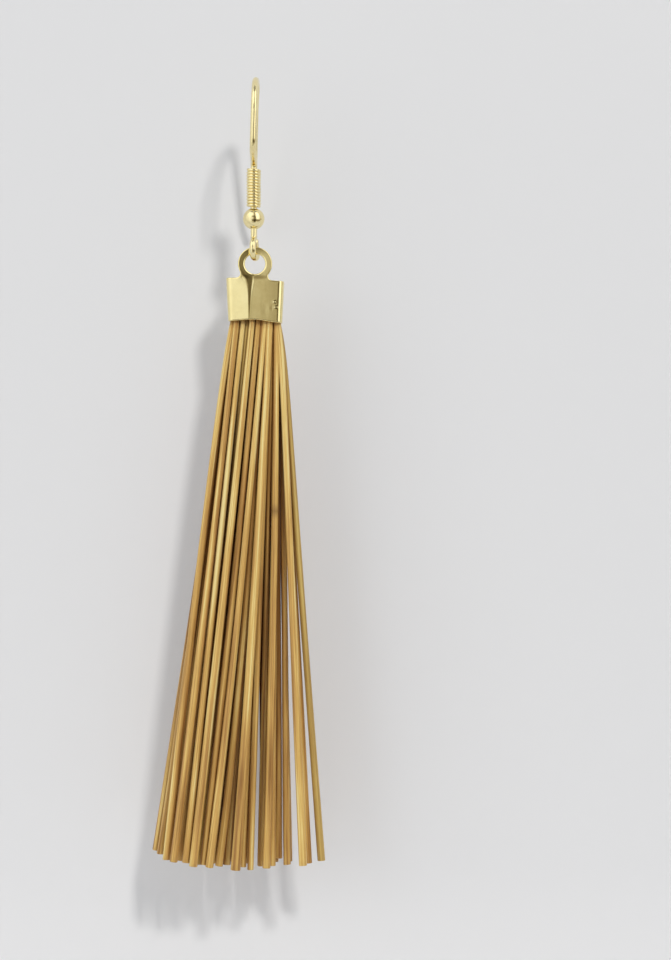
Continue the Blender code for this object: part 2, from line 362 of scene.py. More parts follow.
class Effects:
    """Node groups that more than one finish uses, each built once."""

    def __init__(self) -> None:
        """Builds every group."""
        self.tarnish = self._tarnish()
        self.hairlines = self._hairlines()
        self.fibres = self._fibres()

    @staticmethod
    def _new_group(
        name: str, inputs: dict[str, tuple[str, object]], outputs: dict[str, str]
    ) -> tuple[bpy.types.NodeTree, bpy.types.Node, bpy.types.Node]:
        """Makes a group with named sockets.

        Args:
            name: The group's name.
            inputs: Each input's socket type and starting value.
            outputs: Each output's socket type.

        Returns:
            The group, its input node and its output node.
        """
        tree = bpy.data.node_groups.new(name, "ShaderNodeTree")
        for label, (kind, value) in inputs.items():
            socket = tree.interface.new_socket(name=label, in_out="INPUT", socket_type=kind)
            if value is not None:
                socket.default_value = value
        for label, kind in outputs.items():
            tree.interface.new_socket(name=label, in_out="OUTPUT", socket_type=kind)
        return tree, tree.nodes.new("NodeGroupInput"), tree.nodes.new("NodeGroupOutput")

    def _tarnish(self) -> bpy.types.NodeTree:
        """Soft clouds of duller metal: two sizes of noise, of which the coarse one weighs more.

        Returns:
            A group that gives a mask from 0, bright, to 1, dull.
        """
        tree, start, end = self._new_group(
            "tarnish clouds",
            {"Vector": ("NodeSocketVector", None), "Size": ("NodeSocketFloat", 700.0)},
            {"Mask": "NodeSocketFloat"},
        )
        build = NodeBuilder(tree)
        coarse = build.noise(start.outputs["Vector"], start.outputs["Size"], detail=2.0)
        finer = build.math("MULTIPLY", start.outputs["Size"], 4.1)
        fine = build.noise(start.outputs["Vector"], finer, detail=3.0)
        both = build.weighed(coarse, 0.65, fine, 0.35)
        build.link(build.remap(both, 0.36, 0.68, 0.0, 1.0), end.inputs["Mask"])
        return tree

    def _hairlines(self) -> bpy.types.NodeTree:
        """Fine rubbing lines along one direction: noise read from squeezed coordinates.

        Returns:
            A group that gives a height from 0 to 1.
        """
        tree, start, end = self._new_group(
            "rubbing lines",
            {
                "Vector": ("NodeSocketVector", None),
                "Squeeze": ("NodeSocketVector", (9000.0, 9000.0, 500.0)),
            },
            {"Height": "NodeSocketFloat"},
        )
        build = NodeBuilder(tree)
        squeezed = build.vector("MULTIPLY", start.outputs["Vector"], start.outputs["Squeeze"])
        build.link(build.noise(squeezed, 1.0, detail=2.0), end.inputs["Height"])
        return tree

    def _fibres(self) -> bpy.types.NodeTree:
        """Fibres of a dry stem: noise squeezed round the stem and drawn out along it.

        Returns:
            A group that gives a streak mask, a fine height and slow blotches, each from 0 to 1.
        """
        tree, start, end = self._new_group(
            "straw fibres",
            {
                "Vector": ("NodeSocketVector", None),
                "Round": ("NodeSocketFloat", 9.0),
                "Along": ("NodeSocketFloat", 0.16),
            },
            dict.fromkeys(("Streaks", "Height", "Blotches"), "NodeSocketFloat"),
        )
        build = NodeBuilder(tree)
        vector = start.outputs["Vector"]
        broad = build.combine(start.outputs["Round"], start.outputs["Along"], 1.0)
        fine = build.vector("MULTIPLY", broad, (3.4, 2.6, 1.0))
        slow = build.vector("MULTIPLY", broad, (0.25, 1.9, 1.0))
        wide_noise, fine_noise, slow_noise = (
            build.noise(build.vector("MULTIPLY", vector, size), 1.0, detail)
            for size, detail in ((broad, 3.0), (fine, 2.0), (slow, 2.0))
        )
        mixed = build.weighed(wide_noise, 0.62, fine_noise, 0.38)
        build.link(build.remap(mixed, 0.34, 0.68, 0.0, 1.0), end.inputs["Streaks"])
        build.link(fine_noise, end.inputs["Height"])
        build.link(build.remap(slow_noise, 0.38, 0.66, 0.0, 1.0), end.inputs["Blotches"])
        return tree


@dataclass
class NodeBuilder:
    """Adds nodes to a tree and links them, one call a node."""

    tree: bpy.types.NodeTree

    def link(self, source: bpy.types.NodeSocket, target: bpy.types.NodeSocket) -> None:
        """Links two sockets."""
        self.tree.links.new(source, target)

    def feed(self, value: object, target: bpy.types.NodeSocket) -> None:
        """Links a socket to the target, or sets the target to a plain value.

        Args:
            value: The socket or the value.
            target: What it goes into.
        """
        if isinstance(value, bpy.types.NodeSocket):
            self.link(value, target)
        else:
            target.default_value = value

    def math(
        self, operation: str, first: object, second: object, clamp: bool = False
    ) -> bpy.types.NodeSocket:
        """Adds a Math node.

        Args:
            operation: The node's operation.
            first: Its first value or socket.
            second: Its second value or socket.
            clamp: Whether the result is held between 0 and 1.

        Returns:
            The result's socket.
        """
        node = self.tree.nodes.new("ShaderNodeMath")
        node.operation = operation
        node.use_clamp = clamp
        self.feed(first, node.inputs[0])
        self.feed(second, node.inputs[1])
        return node.outputs[0]

    def weighed(
        self, first: object, first_weight: float, second: object, second_weight: float
    ) -> bpy.types.NodeSocket:
        """Adds two values up, each times its weight.

        Args:
            first: The first value or socket.
            first_weight: Its weight.
            second: The second value or socket.
            second_weight: Its weight.

        Returns:
            The sum's socket.
        """
        heavy = self.math("MULTIPLY", first, first_weight)
        return self.math("ADD", heavy, self.math("MULTIPLY", second, second_weight))

    def swung(self, value: object, size: float) -> bpy.types.NodeSocket:
        """Turns a value from 0 to 1 into one that swings about 0, over the given size."""
        return self.math("MULTIPLY", self.math("SUBTRACT", value, 0.5), size)

    def vector(self, operation: str, first: object, second: object) -> bpy.types.NodeSocket:
        """Adds a Vector Math node.

        Args:
            operation: The node's operation.
            first: Its first vector or socket.
            second: Its second vector or socket.

        Returns:
            The vector's socket.
        """
        node = self.tree.nodes.new("ShaderNodeVectorMath")
        node.operation = operation
        self.feed(first, node.inputs[0])
        self.feed(second, node.inputs[1])
        return node.outputs["Vector"]

    def combine(self, x: object, y: object, z: object) -> bpy.types.NodeSocket:
        """Adds a Combine XYZ node.

        Args:
            x: The first number or socket.
            y: The second.
            z: The third.

        Returns:
            The vector's socket.
        """
        node = self.tree.nodes.new("ShaderNodeCombineXYZ")
        for value, target in zip((x, y, z), node.inputs):
            self.feed(value, target)
        return node.outputs["Vector"]

    def noise(self, vector: object, scale: object, detail: float) -> bpy.types.NodeSocket:
        """Adds a Noise node and gives its factor.

        Args:
            vector: Where it is read.
            scale: Its scale.
            detail: How many finer layers it has.

        Returns:
            The factor's socket.
        """
        node = self.tree.nodes.new("ShaderNodeTexNoise")
        self.feed(vector, node.inputs["Vector"])
        self.feed(scale, node.inputs["Scale"])
        node.inputs["Detail"].default_value = detail
        return node.outputs["Fac"]

    def remap(
        self, value: object, low: float, high: float, new_low: float, new_high: float
    ) -> bpy.types.NodeSocket:
        """Adds a Map Range node that holds its result between the new limits.

        Args:
            value: What is remapped.
            low: The value that gives the first new limit.
            high: The value that gives the second new limit.
            new_low: The first new limit.
            new_high: The second new limit.

        Returns:
            The result's socket.
        """
        node = self.tree.nodes.new("ShaderNodeMapRange")
        self.feed(value, node.inputs["Value"])
        labels = ("From Min", "From Max", "To Min", "To Max")
        for label, number in zip(labels, (low, high, new_low, new_high)):
            node.inputs[label].default_value = number
        return node.outputs["Result"]

    def mix(
        self, share: object, first: object, second: object, blend: str = "MIX"
    ) -> bpy.types.NodeSocket:
        """Adds a colour Mix node.

        Args:
            share: How much of the second colour there is.
            first: The first colour or socket.
            second: The second colour or socket.
            blend: The way the two are mixed.

        Returns:
            The colour's socket.
        """
        node = self.tree.nodes.new("ShaderNodeMix")
        node.data_type = "RGBA"
        node.blend_type = blend
        self.feed(share, node.inputs[0])
        self.feed(first, node.inputs[6])
        self.feed(second, node.inputs[7])
        return node.outputs[2]

    def ramp(
        self, value: object, stops: tuple[tuple[float, tuple[float, float, float]], ...]
    ) -> bpy.types.NodeSocket:
        """Adds a Color Ramp node.

        Args:
            value: What it is read by.
            stops: Places from 0 to 1, each with its colour.

        Returns:
            The colour's socket.
        """
        node = self.tree.nodes.new("ShaderNodeValToRGB")
        elements = node.color_ramp.elements
        while len(elements) < len(stops):
            elements.new(0.5)
        for element, (place, colour) in zip(elements, stops):
            element.position = place
            element.color = (*colour, 1.0)
        self.feed(value, node.inputs["Fac"])
        return node.outputs["Color"]

    def group(self, tree: bpy.types.NodeTree, **values: object) -> bpy.types.Node:
        """Places a node group and feeds its named inputs.

        Args:
            tree: The group.
            **values: A value or socket for each input's name.

        Returns:
            The group's node.
        """
        node = self.tree.nodes.new("ShaderNodeGroup")
        node.node_tree = tree
        for label, value in values.items():
            self.feed(value, node.inputs[label])
        return node

    def place(self) -> bpy.types.NodeSocket:
        """Adds Texture Coordinate and gives the Object coordinates."""
        return self.tree.nodes.new("ShaderNodeTexCoord").outputs["Object"]

    def attribute(self, name: str) -> bpy.types.NodeSocket:
        """Adds an Attribute node.

        Args:
            name: The attribute's name.

        Returns:
            The number's socket.
        """
        node = self.tree.nodes.new("ShaderNodeAttribute")
        node.attribute_name = name
        return node.outputs["Fac"]

    def bump(self, height: object, distance: float, strength: float) -> bpy.types.NodeSocket:
        """Adds a Bump node.

        Args:
            height: The height's value or socket.
            distance: How high a height of 1 stands, in metres.
            strength: The share of the bump that shows.

        Returns:
            The normal's socket.
        """
        node = self.tree.nodes.new("ShaderNodeBump")
        node.inputs["Strength"].default_value = strength
        node.inputs["Distance"].default_value = distance
        self.feed(height, node.inputs["Height"])
        return node.outputs["Normal"]


def new_material(name: str) -> tuple[bpy.types.Material, bpy.types.Node, NodeBuilder]:
    """Makes a material with its shader.

    Args:
        name: The material's name.

    Returns:
        The material, its Principled BSDF node and a builder for its tree.
    """
    material = bpy.data.materials.new(name)
    material.use_nodes = True
    return material, material.node_tree.nodes["Principled BSDF"], NodeBuilder(material.node_tree)


@dataclass(frozen=True)
class GoldFinish:
    """Light gold plating: polished, with soft clouds of duller metal and fine rubbing lines."""

    name: str
    bright: tuple[float, float, float]
    dull: tuple[float, float, float]
    roughness: float
    spread: float
    squeeze: tuple[float, float, float]
    line_height: float
    cloud_size: float = 620.0
    cloud_share: float = 0.55
    rubbed_roughness: float = 0.05

    def make(self, effects: Effects) -> bpy.types.Material:
        """Builds the material.

        Args:
            effects: The shared node groups.

        Returns:
            The material.
        """
        material, shader, build = new_material(self.name)
        place = build.place()
        clouds = build.group(effects.tarnish, Vector=place, Size=self.cloud_size).outputs["Mask"]
        lines = build.group(effects.hairlines, Vector=place, Squeeze=self.squeeze).outputs["Height"]
        dulled = build.math("MULTIPLY", clouds, self.cloud_share)
        colour = build.mix(dulled, (*self.bright, 1.0), (*self.dull, 1.0))
        build.link(colour, shader.inputs["Base Color"])
        shader.inputs["Metallic"].default_value = 1.0
        rubbed = build.remap(lines, 0.45, 0.75, 0.0, self.rubbed_roughness)
        worn = build.remap(clouds, 0.0, 1.0, self.roughness, self.roughness + self.spread)
        build.link(build.math("ADD", worn, rubbed), shader.inputs["Roughness"])
        build.link(build.bump(lines, self.line_height, 0.5), shader.inputs["Normal"])
        return material


@dataclass(frozen=True)
class StrawFinish:
    """Dry golden stems: a tone for each, streaks along it, painted shade in the gaps and pale cut
    ends.
    """

    name: str = "golden_straw"
    stops: tuple[tuple[float, tuple[float, float, float]], ...] = (
        (0.0, (0.215, 0.094, 0.018)),
        (0.22, (0.365, 0.181, 0.043)),
        (0.45, (0.55, 0.308, 0.084)),
        (0.68, (0.70, 0.437, 0.119)),
        (0.86, (0.82, 0.59, 0.195)),
        (1.0, (0.89, 0.73, 0.31)),
    )
    olive: tuple[float, float, float] = (0.37, 0.31, 0.085)
    pith: tuple[float, float, float] = (0.66, 0.53, 0.33)
    # The colour of the painted shade in the gaps between the straws.
    shade: tuple[float, float, float] = (0.30, 0.105, 0.010)
    knot: tuple[float, float, float] = (0.16, 0.075, 0.025)
    streak_swing: float = 0.85
    blotch_swing: float = 0.20
    gap_range: tuple[float, float] = (0.04, 0.60)
    shine: float = 0.34
    fibre_height: float = 0.000035

    def make(self, effects: Effects) -> bpy.types.Material:
        """Builds the material.

        Args:
            effects: The shared node groups.

        Returns:
            The material.
        """
        material, shader, build = new_material(self.name)
        where = build.combine(*(build.attribute(name) for name in ("round", "along", "stem")))
        fibres = build.group(effects.fibres, Vector=where, Round=0.85, Along=0.045)
        streaks, blotches = fibres.outputs["Streaks"], fibres.outputs["Blotches"]
        swing = build.swung(streaks, self.streak_swing)
        drift = build.swung(blotches, self.blotch_swing)
        shift = build.math("ADD", swing, drift)
        tone = build.math("ADD", build.attribute("tone"), shift, clamp=True)
        colour = build.ramp(tone, self.stops)
        for name in ("olive", "knot", "pith"):
            colour = build.mix(build.attribute(name), colour, (*getattr(self, name), 1.0))
        # Painted shade: where the straws close each other in, the colour is darkened towards the
        # shade colour and the shine is taken out.
        closed = build.remap(build.attribute("crowded"), *self.gap_range, 0.0, 1.0)
        hidden = build.mix(closed, (1.0, 1.0, 1.0, 1.0), (*self.shade, 1.0))
        colour = build.mix(1.0, colour, hidden, "MULTIPLY")
        build.link(colour, shader.inputs["Base Color"])
        build.link(build.remap(streaks, 0.0, 1.0, 0.50, 0.34), shader.inputs["Roughness"])
        shine = build.remap(closed, 0.0, 0.8, self.shine, 0.02)
        build.link(shine, shader.inputs["Specular IOR Level"])
        shader.inputs["Sheen Weight"].default_value = 0.04
        raised = build.bump(fibres.outputs["Height"], self.fibre_height, 0.6)
        build.link(raised, shader.inputs["Normal"])
        return material


# The ear wire and what is threaded on it


@dataclass
class EarWire:
    """The hook with its eye, the sleeve of fine wire wound on its shank, and the bead under it.

    Heights count from the underside of the crown. Each lean is a height and how far to the right
    the wire stands there.
    """

    wire_radius: float = 0.00034
    hook_front: float = 0.0043
    hook_back: float = 0.0023
    hook_drop: float = 0.00855
    bow_lean: float = 0.0007
    bow_rise: float = 0.0008
    bow_foot_radius: float = 0.0017
    shank_bend_radius: float = 0.0006
    tail_drop: float = 0.0145
    tail_back: float = 0.0061
    flare_length: float = 0.0024
    flare_back: float = 0.0012
    flare_radius: float = 0.004
    tail_lean: float = 0.00027
    tail_lean_start: float = 0.001
    tail_lean_reach: float = 0.004
    neck_length: float = 0.0007
    eye_radius: float = 0.00095
    eye_bend_radius: float = 0.00045
    eye_end: float = math.radians(25)
    eye_twist: float = 0.00032
    thread_gap: float = 0.0001
    coil_length: float = 0.00415
    sleeve_wire: float = 0.00016
    sleeve_middle: float = 0.00061
    sleeve_turns: float = 12.4
    sleeve_start: float = math.radians(200)
    bead_radius: float = 0.00113
    bead_lip: float = 0.00005
    arc_step: float = math.radians(4)
    route_step: float = 0.00009
    route_softness: float = 0.00012
    blunt_tip: float = 0.00016
    blunt_sleeve: float = 0.00004
    leans: tuple[tuple[float, float], ...] = (
        (-0.0185, -0.00017),
        (-0.0172, -0.00022),
        (-0.0160, -0.00013),
        (-0.0100, -0.00015),
        (-0.0080, -0.00013),
        (-0.0030, 0.00004),
        (0.0010, 0.00013),
    )

    def __post_init__(self) -> None:
        """Works out the heights that follow from the sizes."""
        self.crown = self.wire_radius
        self.shank_top = self.crown - self.hook_drop
        self.coil_top = self.shank_top - self.shank_bend_radius
        self.coil_bottom = self.coil_top - self.coil_length
        self.bore = self.wire_radius + self.thread_gap
        half = math.sqrt(self.bead_radius**2 - self.bore**2)
        self.bead_middle = self.coil_bottom - self.thread_gap - half
        self.neck_foot = self.bead_middle - self.bead_radius - self.neck_length
        reach = self.eye_radius + self.eye_bend_radius
        self.eye_start = math.asin(self.eye_bend_radius / reach)
        self.eye_middle = self.neck_foot - reach * math.cos(self.eye_start)

    def lean_at(self, heights: np.ndarray) -> np.ndarray:
        """How far the bent wire stands to the side at a height, read between measured places.

        Args:
            heights: Heights in metres.

        Returns:
            The offset along X at each.
        """
        levels, offsets = np.array(self.leans).T
        return np.interp(heights, levels, offsets)

    def side_view(self) -> np.ndarray:
        """The wire's middle line from the tail's tip to the foot of the neck, seen from the side.

        The crown's two corners have one radius, the largest for which their arcs meet between
        them: their distance divided by the summed tangents of half the turns.

        Returns:
            Points of a rounded route, as rows of (depth, height).
        """
        tip = (self.tail_back + self.flare_back, self.crown - self.tail_drop)
        flare = np.array([self.tail_back, self.crown - self.tail_drop + self.flare_length])
        back = np.array([self.hook_back, self.crown])
        front = np.array([-self.hook_front, self.crown])
        foot = np.array([-self.hook_front + self.bow_lean, self.shank_top + self.bow_rise])
        back_turn = math.acos(float(unit(flare - back)[0]))
        front_turn = math.acos(float(unit(front - foot)[0]))
        crown_radius = (self.hook_front + self.hook_back) / (
            math.tan(back_turn / 2) + math.tan(front_turn / 2)
        )
        corners = [
            (*tip, 0.0),
            (*flare, self.flare_radius),
            (*back, crown_radius),
            (*front, crown_radius),
            (*foot, self.bow_foot_radius),
            (0.0, self.shank_top, self.shank_bend_radius),
            (0.0, self.neck_foot, 0.0),
        ]
        return rounded_route(corners, self.arc_step)

    def route(self) -> np.ndarray:
        """The wire's whole middle line: the side view, the bend into the eye, and the eye.

        Sideways the tail leans to the left behind the bow. The eye is twisted, so that its back
        half shows beside its front half: it drifts out by a smooth step between 1.5 and 2.5
        quarter turns, and half-way back by another near its end. It ends against the back of the
        neck.

        Returns:
            Evenly spaced points.
        """
        bend_middle = (-self.eye_bend_radius, self.neck_foot)
        bend_end = self.eye_start - QUARTER_TURN
        bend = arc_points(bend_middle, self.eye_bend_radius, 0.0, bend_end, self.arc_step)
        first, full = QUARTER_TURN + self.eye_start, FULL_TURN - self.eye_end
        eye_middle = (0.0, self.eye_middle)
        loop = arc_points(eye_middle, self.eye_radius, first, QUARTER_TURN + full, self.arc_step)
        flat = np.concatenate([self.side_view(), bend[1:], loop[1:]])
        quarters = np.linspace(self.eye_start, full, len(loop)) / QUARTER_TURN
        out, back = smooth_step(quarters - 1.5), smooth_step(quarters * 1.25 - 3.6)
        drift = np.zeros(len(flat))
        drift[-len(loop) :] = self.eye_twist * out * (1.0 - back / 2)
        behind = (flat[:, 0] - self.tail_lean_start) / self.tail_lean_reach
        drift -= self.tail_lean * smooth_step(behind)
        path = np.column_stack([drift + self.lean_at(flat[:, 1]), flat])
        return even_path(path, self.route_step, self.route_softness)

    def build_hook(self) -> bpy.types.Object:
        """Carries the wire's round section along its route, with blunt rounded ends.

        Returns:
            The hook.
        """
        surface = Surface()
        sideways = np.array([1.0, 0.0, 0.0])
        add_rod(surface, self.route(), sideways, self.wire_radius, 20, self.blunt_tip)
        return surface.piece("ear_wire_hook")

    def build_sleeve(self) -> bpy.types.Object:
        """Winds fine wire round the shank: a screw line about the shank's axis.

        Returns:
            The sleeve.
        """
        turns = np.linspace(0.0, self.sleeve_turns, round(self.sleeve_turns * 40) + 1)
        angle = FULL_TURN * turns + self.sleeve_start
        rise = self.coil_length - 2 * self.sleeve_wire
        height = self.coil_top - self.sleeve_wire - rise * turns / self.sleeve_turns
        outward = np.stack([np.cos(angle), np.sin(angle), np.zeros_like(angle)], axis=-1)
        middle = np.stack([self.lean_at(height), np.zeros_like(height), height], axis=-1)
        screw = middle + outward * self.sleeve_middle
        surface = Surface()
        add_rod(surface, screw, outward, self.sleeve_wire, 14, self.blunt_sleeve)
        return surface.piece("wound_sleeve")

    def build_bead(self) -> bpy.types.Object:
        """Turns the bead's outline about its bore.

        The outline is a circle from lip to lip, a small rounded lip at each end of the bore, and
        the bore's straight wall.

        Returns:
            The bead.
        """
        lip = self.bead_lip
        pole = math.acos((self.bore + lip) / self.bead_radius)
        outside = arc_points((0.0, 0.0), self.bead_radius, pole, -pole, self.arc_step)
        turn = np.linspace(0.0, QUARTER_TURN, 5)[1:]
        inner = self.bore + lip * (1 - np.sin(turn))
        under = np.stack([inner, outside[-1, 1] + lip * (1 - np.cos(turn))], axis=-1)
        over = under[::-1] * np.array([1.0, -1.0])
        bore = np.linspace(under[-1], over[0], 6)[1:-1]
        outline = np.concatenate([outside, under, bore, over])
        sides = 72
        angle = round_angles(sides)
        radius, height = outline[:, :1], outline[:, 1:]
        points = np.stack(
            [
                radius * np.cos(angle) + self.lean_at(np.array(self.bead_middle)),
                radius * np.sin(angle),
                np.broadcast_to(height + self.bead_middle, (len(outline), sides)),
            ],
            axis=-1,
        )
        surface = Surface()
        closed = np.concatenate([points, points[:1]])
        quads = ring_faces(len(closed), sides)[:, ::-1] % (len(outline) * sides)
        surface.add(points, [quads])
        return surface.piece("threaded_bead")


# The cap


@dataclass(frozen=True)
class Mark:
    """A small dent in the cap's front, or a raised speck where its depth is negative."""

    along: float
    height: float
    half_width: float
    half_height: float
    depth: float


@dataclass
class Cap:
    """The folded cap with its ring, made as a flat blank that is rounded, pressed and folded.

    A point of the blank is its length along the sheet from the front's middle, and its height from
    the swing's axis. The curves' numbers are the terms that edge_level and crease_lines use.
    """

    pivot: float
    sheet: float = 0.00025
    width: float = 0.0061
    depth: float = 0.0026
    fold: float = 0.00045
    seam: float = 0.00015
    ring_radius: float = 0.0018
    hole_radius: float = 0.00106
    ring_middle: float = -0.000627
    top: float = -0.002127
    mouth: float = -0.006577
    fillet: float = 0.00042
    pinch: float = 0.0002
    edge: float = 0.00013
    hole_edge: float = 0.00020
    corner: float = 0.00022
    top_curve: tuple[float, float, float] = (3e-6, -1.8e-4, -1.03e-4)
    mouth_curve: tuple[float, float, float] = (8.3e-5, -1e-4, -2.23e-4)
    crease_left: tuple[float, float, float] = (-0.00073, -0.00034, 6.5)
    crease_floor: tuple[float, float, float] = (-0.00055, 0.00031, 2.2)
    crease_width: tuple[float, float, float] = (0.00005, 0.00013, 3)
    crease_tilt: float = math.radians(9.0)
    flank_tilt: float = math.radians(5.46)
    crease_at_mouth: float = 0.6
    crease_growth: float = 0.0026
    crease_soft: float = 0.000028
    fold_soft: float = 0.00006
    crest: float = 0.000103
    dome: float = 7.5
    bow: float = 0.00006
    bow_rise: float = 0.0004
    bow_reach: float = 0.00135
    ring_slopes: tuple[float, float] = (0.105, 0.02)
    ring_soft: float = 0.0002
    ring_lift: float = 0.00005
    blend_drop: float = 0.00035
    blend_height: float = 0.0009
    blend_delay: float = 0.0007
    net_rows: float = 0.00011
    net_columns: float = 0.00013
    crease_columns: float = 0.000032
    mark_net: float = 0.00004
    net_margin: float = 0.00003
    mark_flank: float = 0.45
    marks: tuple[Mark, ...] = (
        Mark(0.00218, -0.00462, 0.00019, 0.00014, -3.0e-5),
        Mark(0.00232, -0.00517, 0.00020, 0.00013, -3.2e-5),
        Mark(0.00188, -0.00528, 0.00016, 0.00022, 0.7e-5),
        Mark(0.00120, -0.00560, 0.00045, 0.00060, 1.0e-5),
        Mark(-0.00170, -0.00330, 0.00050, 0.00080, 0.9e-5),
    )

    def __post_init__(self) -> None:
        """Works out the folded section: half the flat front, then the arc lengths to each bend."""
        self.side = (self.width - self.sheet) / 2
        self.flat = self.side - self.fold
        self.reach = self.flat + math.pi * self.fold + (self.depth - self.sheet - 2 * self.fold)
        self.end = self.reach + self.flat - self.seam / 2

    def edge_level(
        self, u: np.ndarray, level: float, curve: tuple[float, float, float]
    ) -> np.ndarray:
        """Height of a long edge of the blank: level + a + b s + c s².

        The place s runs from -1 at the left fold to 1 at the right one, is eased as s(3 - s²) / 2,
        and is level outside.

        Args:
            u: Places along the sheet.
            level: The edge's main height.
            curve: The numbers a, b and c.

        Returns:
            The height at each place.
        """
        s = np.clip(u / self.side, -1.0, 1.0)
        s = s * (3.0 - s * s) / 2
        return level + curve[0] + curve[1] * s + curve[2] * s * s

    def top_at(self, u: np.ndarray) -> np.ndarray:
        """Height of the top edge: level at the left, falling gently to the right corner."""
        return self.edge_level(u, self.top, self.top_curve)

    def mouth_at(self, u: np.ndarray) -> np.ndarray:
        """Height of the bottom edge: highest left of the middle, lowest at the right corner."""
        return self.edge_level(u, self.mouth, self.mouth_curve)

    def corner_arc(self, across: float, level: float, start: float) -> np.ndarray:
        """A quarter turn about the middle of one of the blank's rounded corners."""
        end = start + QUARTER_TURN
        return arc_points((across, level), self.corner, start, end, math.radians(15))

    def fillet_arc(self, sign: float) -> tuple[np.ndarray, float, float]:
        """The fillet between the top edge and the ring.

        A circle of the fillet's radius touches both. Its place is found by a few rounds, as the
        edge's height depends on it.

        Args:
            sign: 1 for the right side, -1 for the left.

        Returns:
            Its points from the edge to the ring, the angle where it meets the ring, and how far
            from the middle its centre lies.
        """
        across = self.ring_radius
        for _ in range(6):
            edge = float(self.top_at(np.array(sign * across)))
            level = edge + self.fillet - self.ring_middle
            across = math.sqrt((self.ring_radius + self.fillet) ** 2 - level**2)
        meet = math.atan2(level, across)
        middle = (across, level + self.ring_middle)
        arc = arc_points(middle, self.fillet, -QUARTER_TURN, meet - math.pi, 0.1)
        return arc * np.array([sign, 1.0]), meet, across

    def outline(self, spacing: float) -> np.ndarray:
        """The blank's outer edge, counter-clockwise from the left end of its mouth.

        It is a strip with rounded corners, whose top edge runs over a fillet into the ring and
        over another out of it again.

        Args:
            spacing: The step along the edge.

        Returns:
            Points as rows of (along the sheet, height).
        """
        inner = self.end - self.corner
        mouth = np.linspace(-inner, inner, 400)
        bottom = np.column_stack([mouth, self.mouth_at(mouth)])
        left_top, right_top = (float(self.top_at(np.array(u))) for u in (-self.end, self.end))
        right_arc, right_meet, right_across = self.fillet_arc(1.0)
        left_arc, left_meet, left_across = self.fillet_arc(-1.0)
        falling = np.linspace(inner, right_across, 200)
        rising = np.linspace(-left_across, -inner, 200)
        ring_middle, ring_end = (0.0, self.ring_middle), math.pi - left_meet
        loop = np.concatenate(
            [
                bottom,
                self.corner_arc(inner, bottom[-1, 1] + self.corner, -QUARTER_TURN),
                self.corner_arc(inner, right_top - self.corner, 0.0),
                np.column_stack([falling, self.top_at(falling)]),
                right_arc,
                arc_points(ring_middle, self.ring_radius, right_meet, ring_end, math.radians(4)),
                left_arc[::-1],
                np.column_stack([rising, self.top_at(rising)]),
                self.corner_arc(-inner, left_top - self.corner, QUARTER_TURN),
                self.corner_arc(-inner, bottom[0, 1] + self.corner, math.pi),
                bottom[:1],
            ]
        )
        run = length_along(loop)
        keep = np.concatenate([[True], np.diff(run) > 1e-9])
        reads = np.linspace(0.0, run[-1], round(run[-1] / spacing), endpoint=False)
        return read_along(loop[keep], reads, run[keep])

    def crease_lines(self, height: np.ndarray) -> tuple[np.ndarray, np.ndarray, np.ndarray]:
        """Where the crease's left edge, floor and right edge lie across the front at a height.

        Each is a + b h^n, where h is the height's share from the mouth to the top edge. The right
        edge counts from the floor.

        Args:
            height: Heights on the blank.

        Returns:
            The three places along the sheet, at each height.
        """
        share = np.clip((height - self.mouth) / (self.top - self.mouth), 0.0, 1.3)
        left, floor = (a + b * share**n for a, b, n in (self.crease_left, self.crease_floor))
        gap, growth, power = self.crease_width
        return left, floor, floor + gap + growth * share**power

    def creased(self, u: np.ndarray, height: np.ndarray) -> np.ndarray:
        """The front plate's own relief: straight slopes with soft corners between them.

        From the left fold the plate rises or falls to the crease's left edge, the crease's first
        flank goes down to its floor and the second up to the crest, and from there the right part
        runs down to the right fold, a little domed. The left slope follows from the others, as the
        crest's height is given.

        Args:
            u: Places along the sheet.
            height: Heights on the blank.

        Returns:
            The offset outwards at each point.
        """
        left, floor, right = self.crease_lines(height)
        grown = smooth_step((height - self.mouth) / self.crease_growth)
        depth_share = self.crease_at_mouth + (1.0 - self.crease_at_mouth) * grown
        down = -math.tan(self.crease_tilt) * depth_share
        up = math.tan(self.flank_tilt)
        first = (self.crest - down * (floor - left) - up * (right - floor)) / (left + self.flat)
        last = -self.crest / (self.flat - right)
        bends = [
            (-self.flat, first, self.fold_soft),
            (left, down - first, self.crease_soft),
            (floor, up - down, self.crease_soft),
            (right, last - up, self.crease_soft),
            (self.flat, -last, self.fold_soft),
        ]
        dome = self.dome * np.maximum(u - right, 0.0) * np.maximum(self.flat - u, 0.0)
        return self.bent(u, bends) + dome

    def ring_relief(self, u: np.ndarray, height: np.ndarray) -> np.ndarray:
        """The ring's own relief: it bows back by a parabola and leans right, more on its left.

        Args:
            u: Places along the sheet.
            height: Heights on the blank.

        Returns:
            The offset outwards at each point.
        """
        floor = self.crease_lines(height)[1]
        steep, gentle = self.ring_slopes
        level = np.maximum(height - self.ring_middle - self.bow_rise, 0.0) / self.bow_reach
        lean = steep * (floor - u) + self.ring_lift - self.bow * level**2
        return lean + self.bent(u, [(floor, steep - gentle, self.ring_soft)])

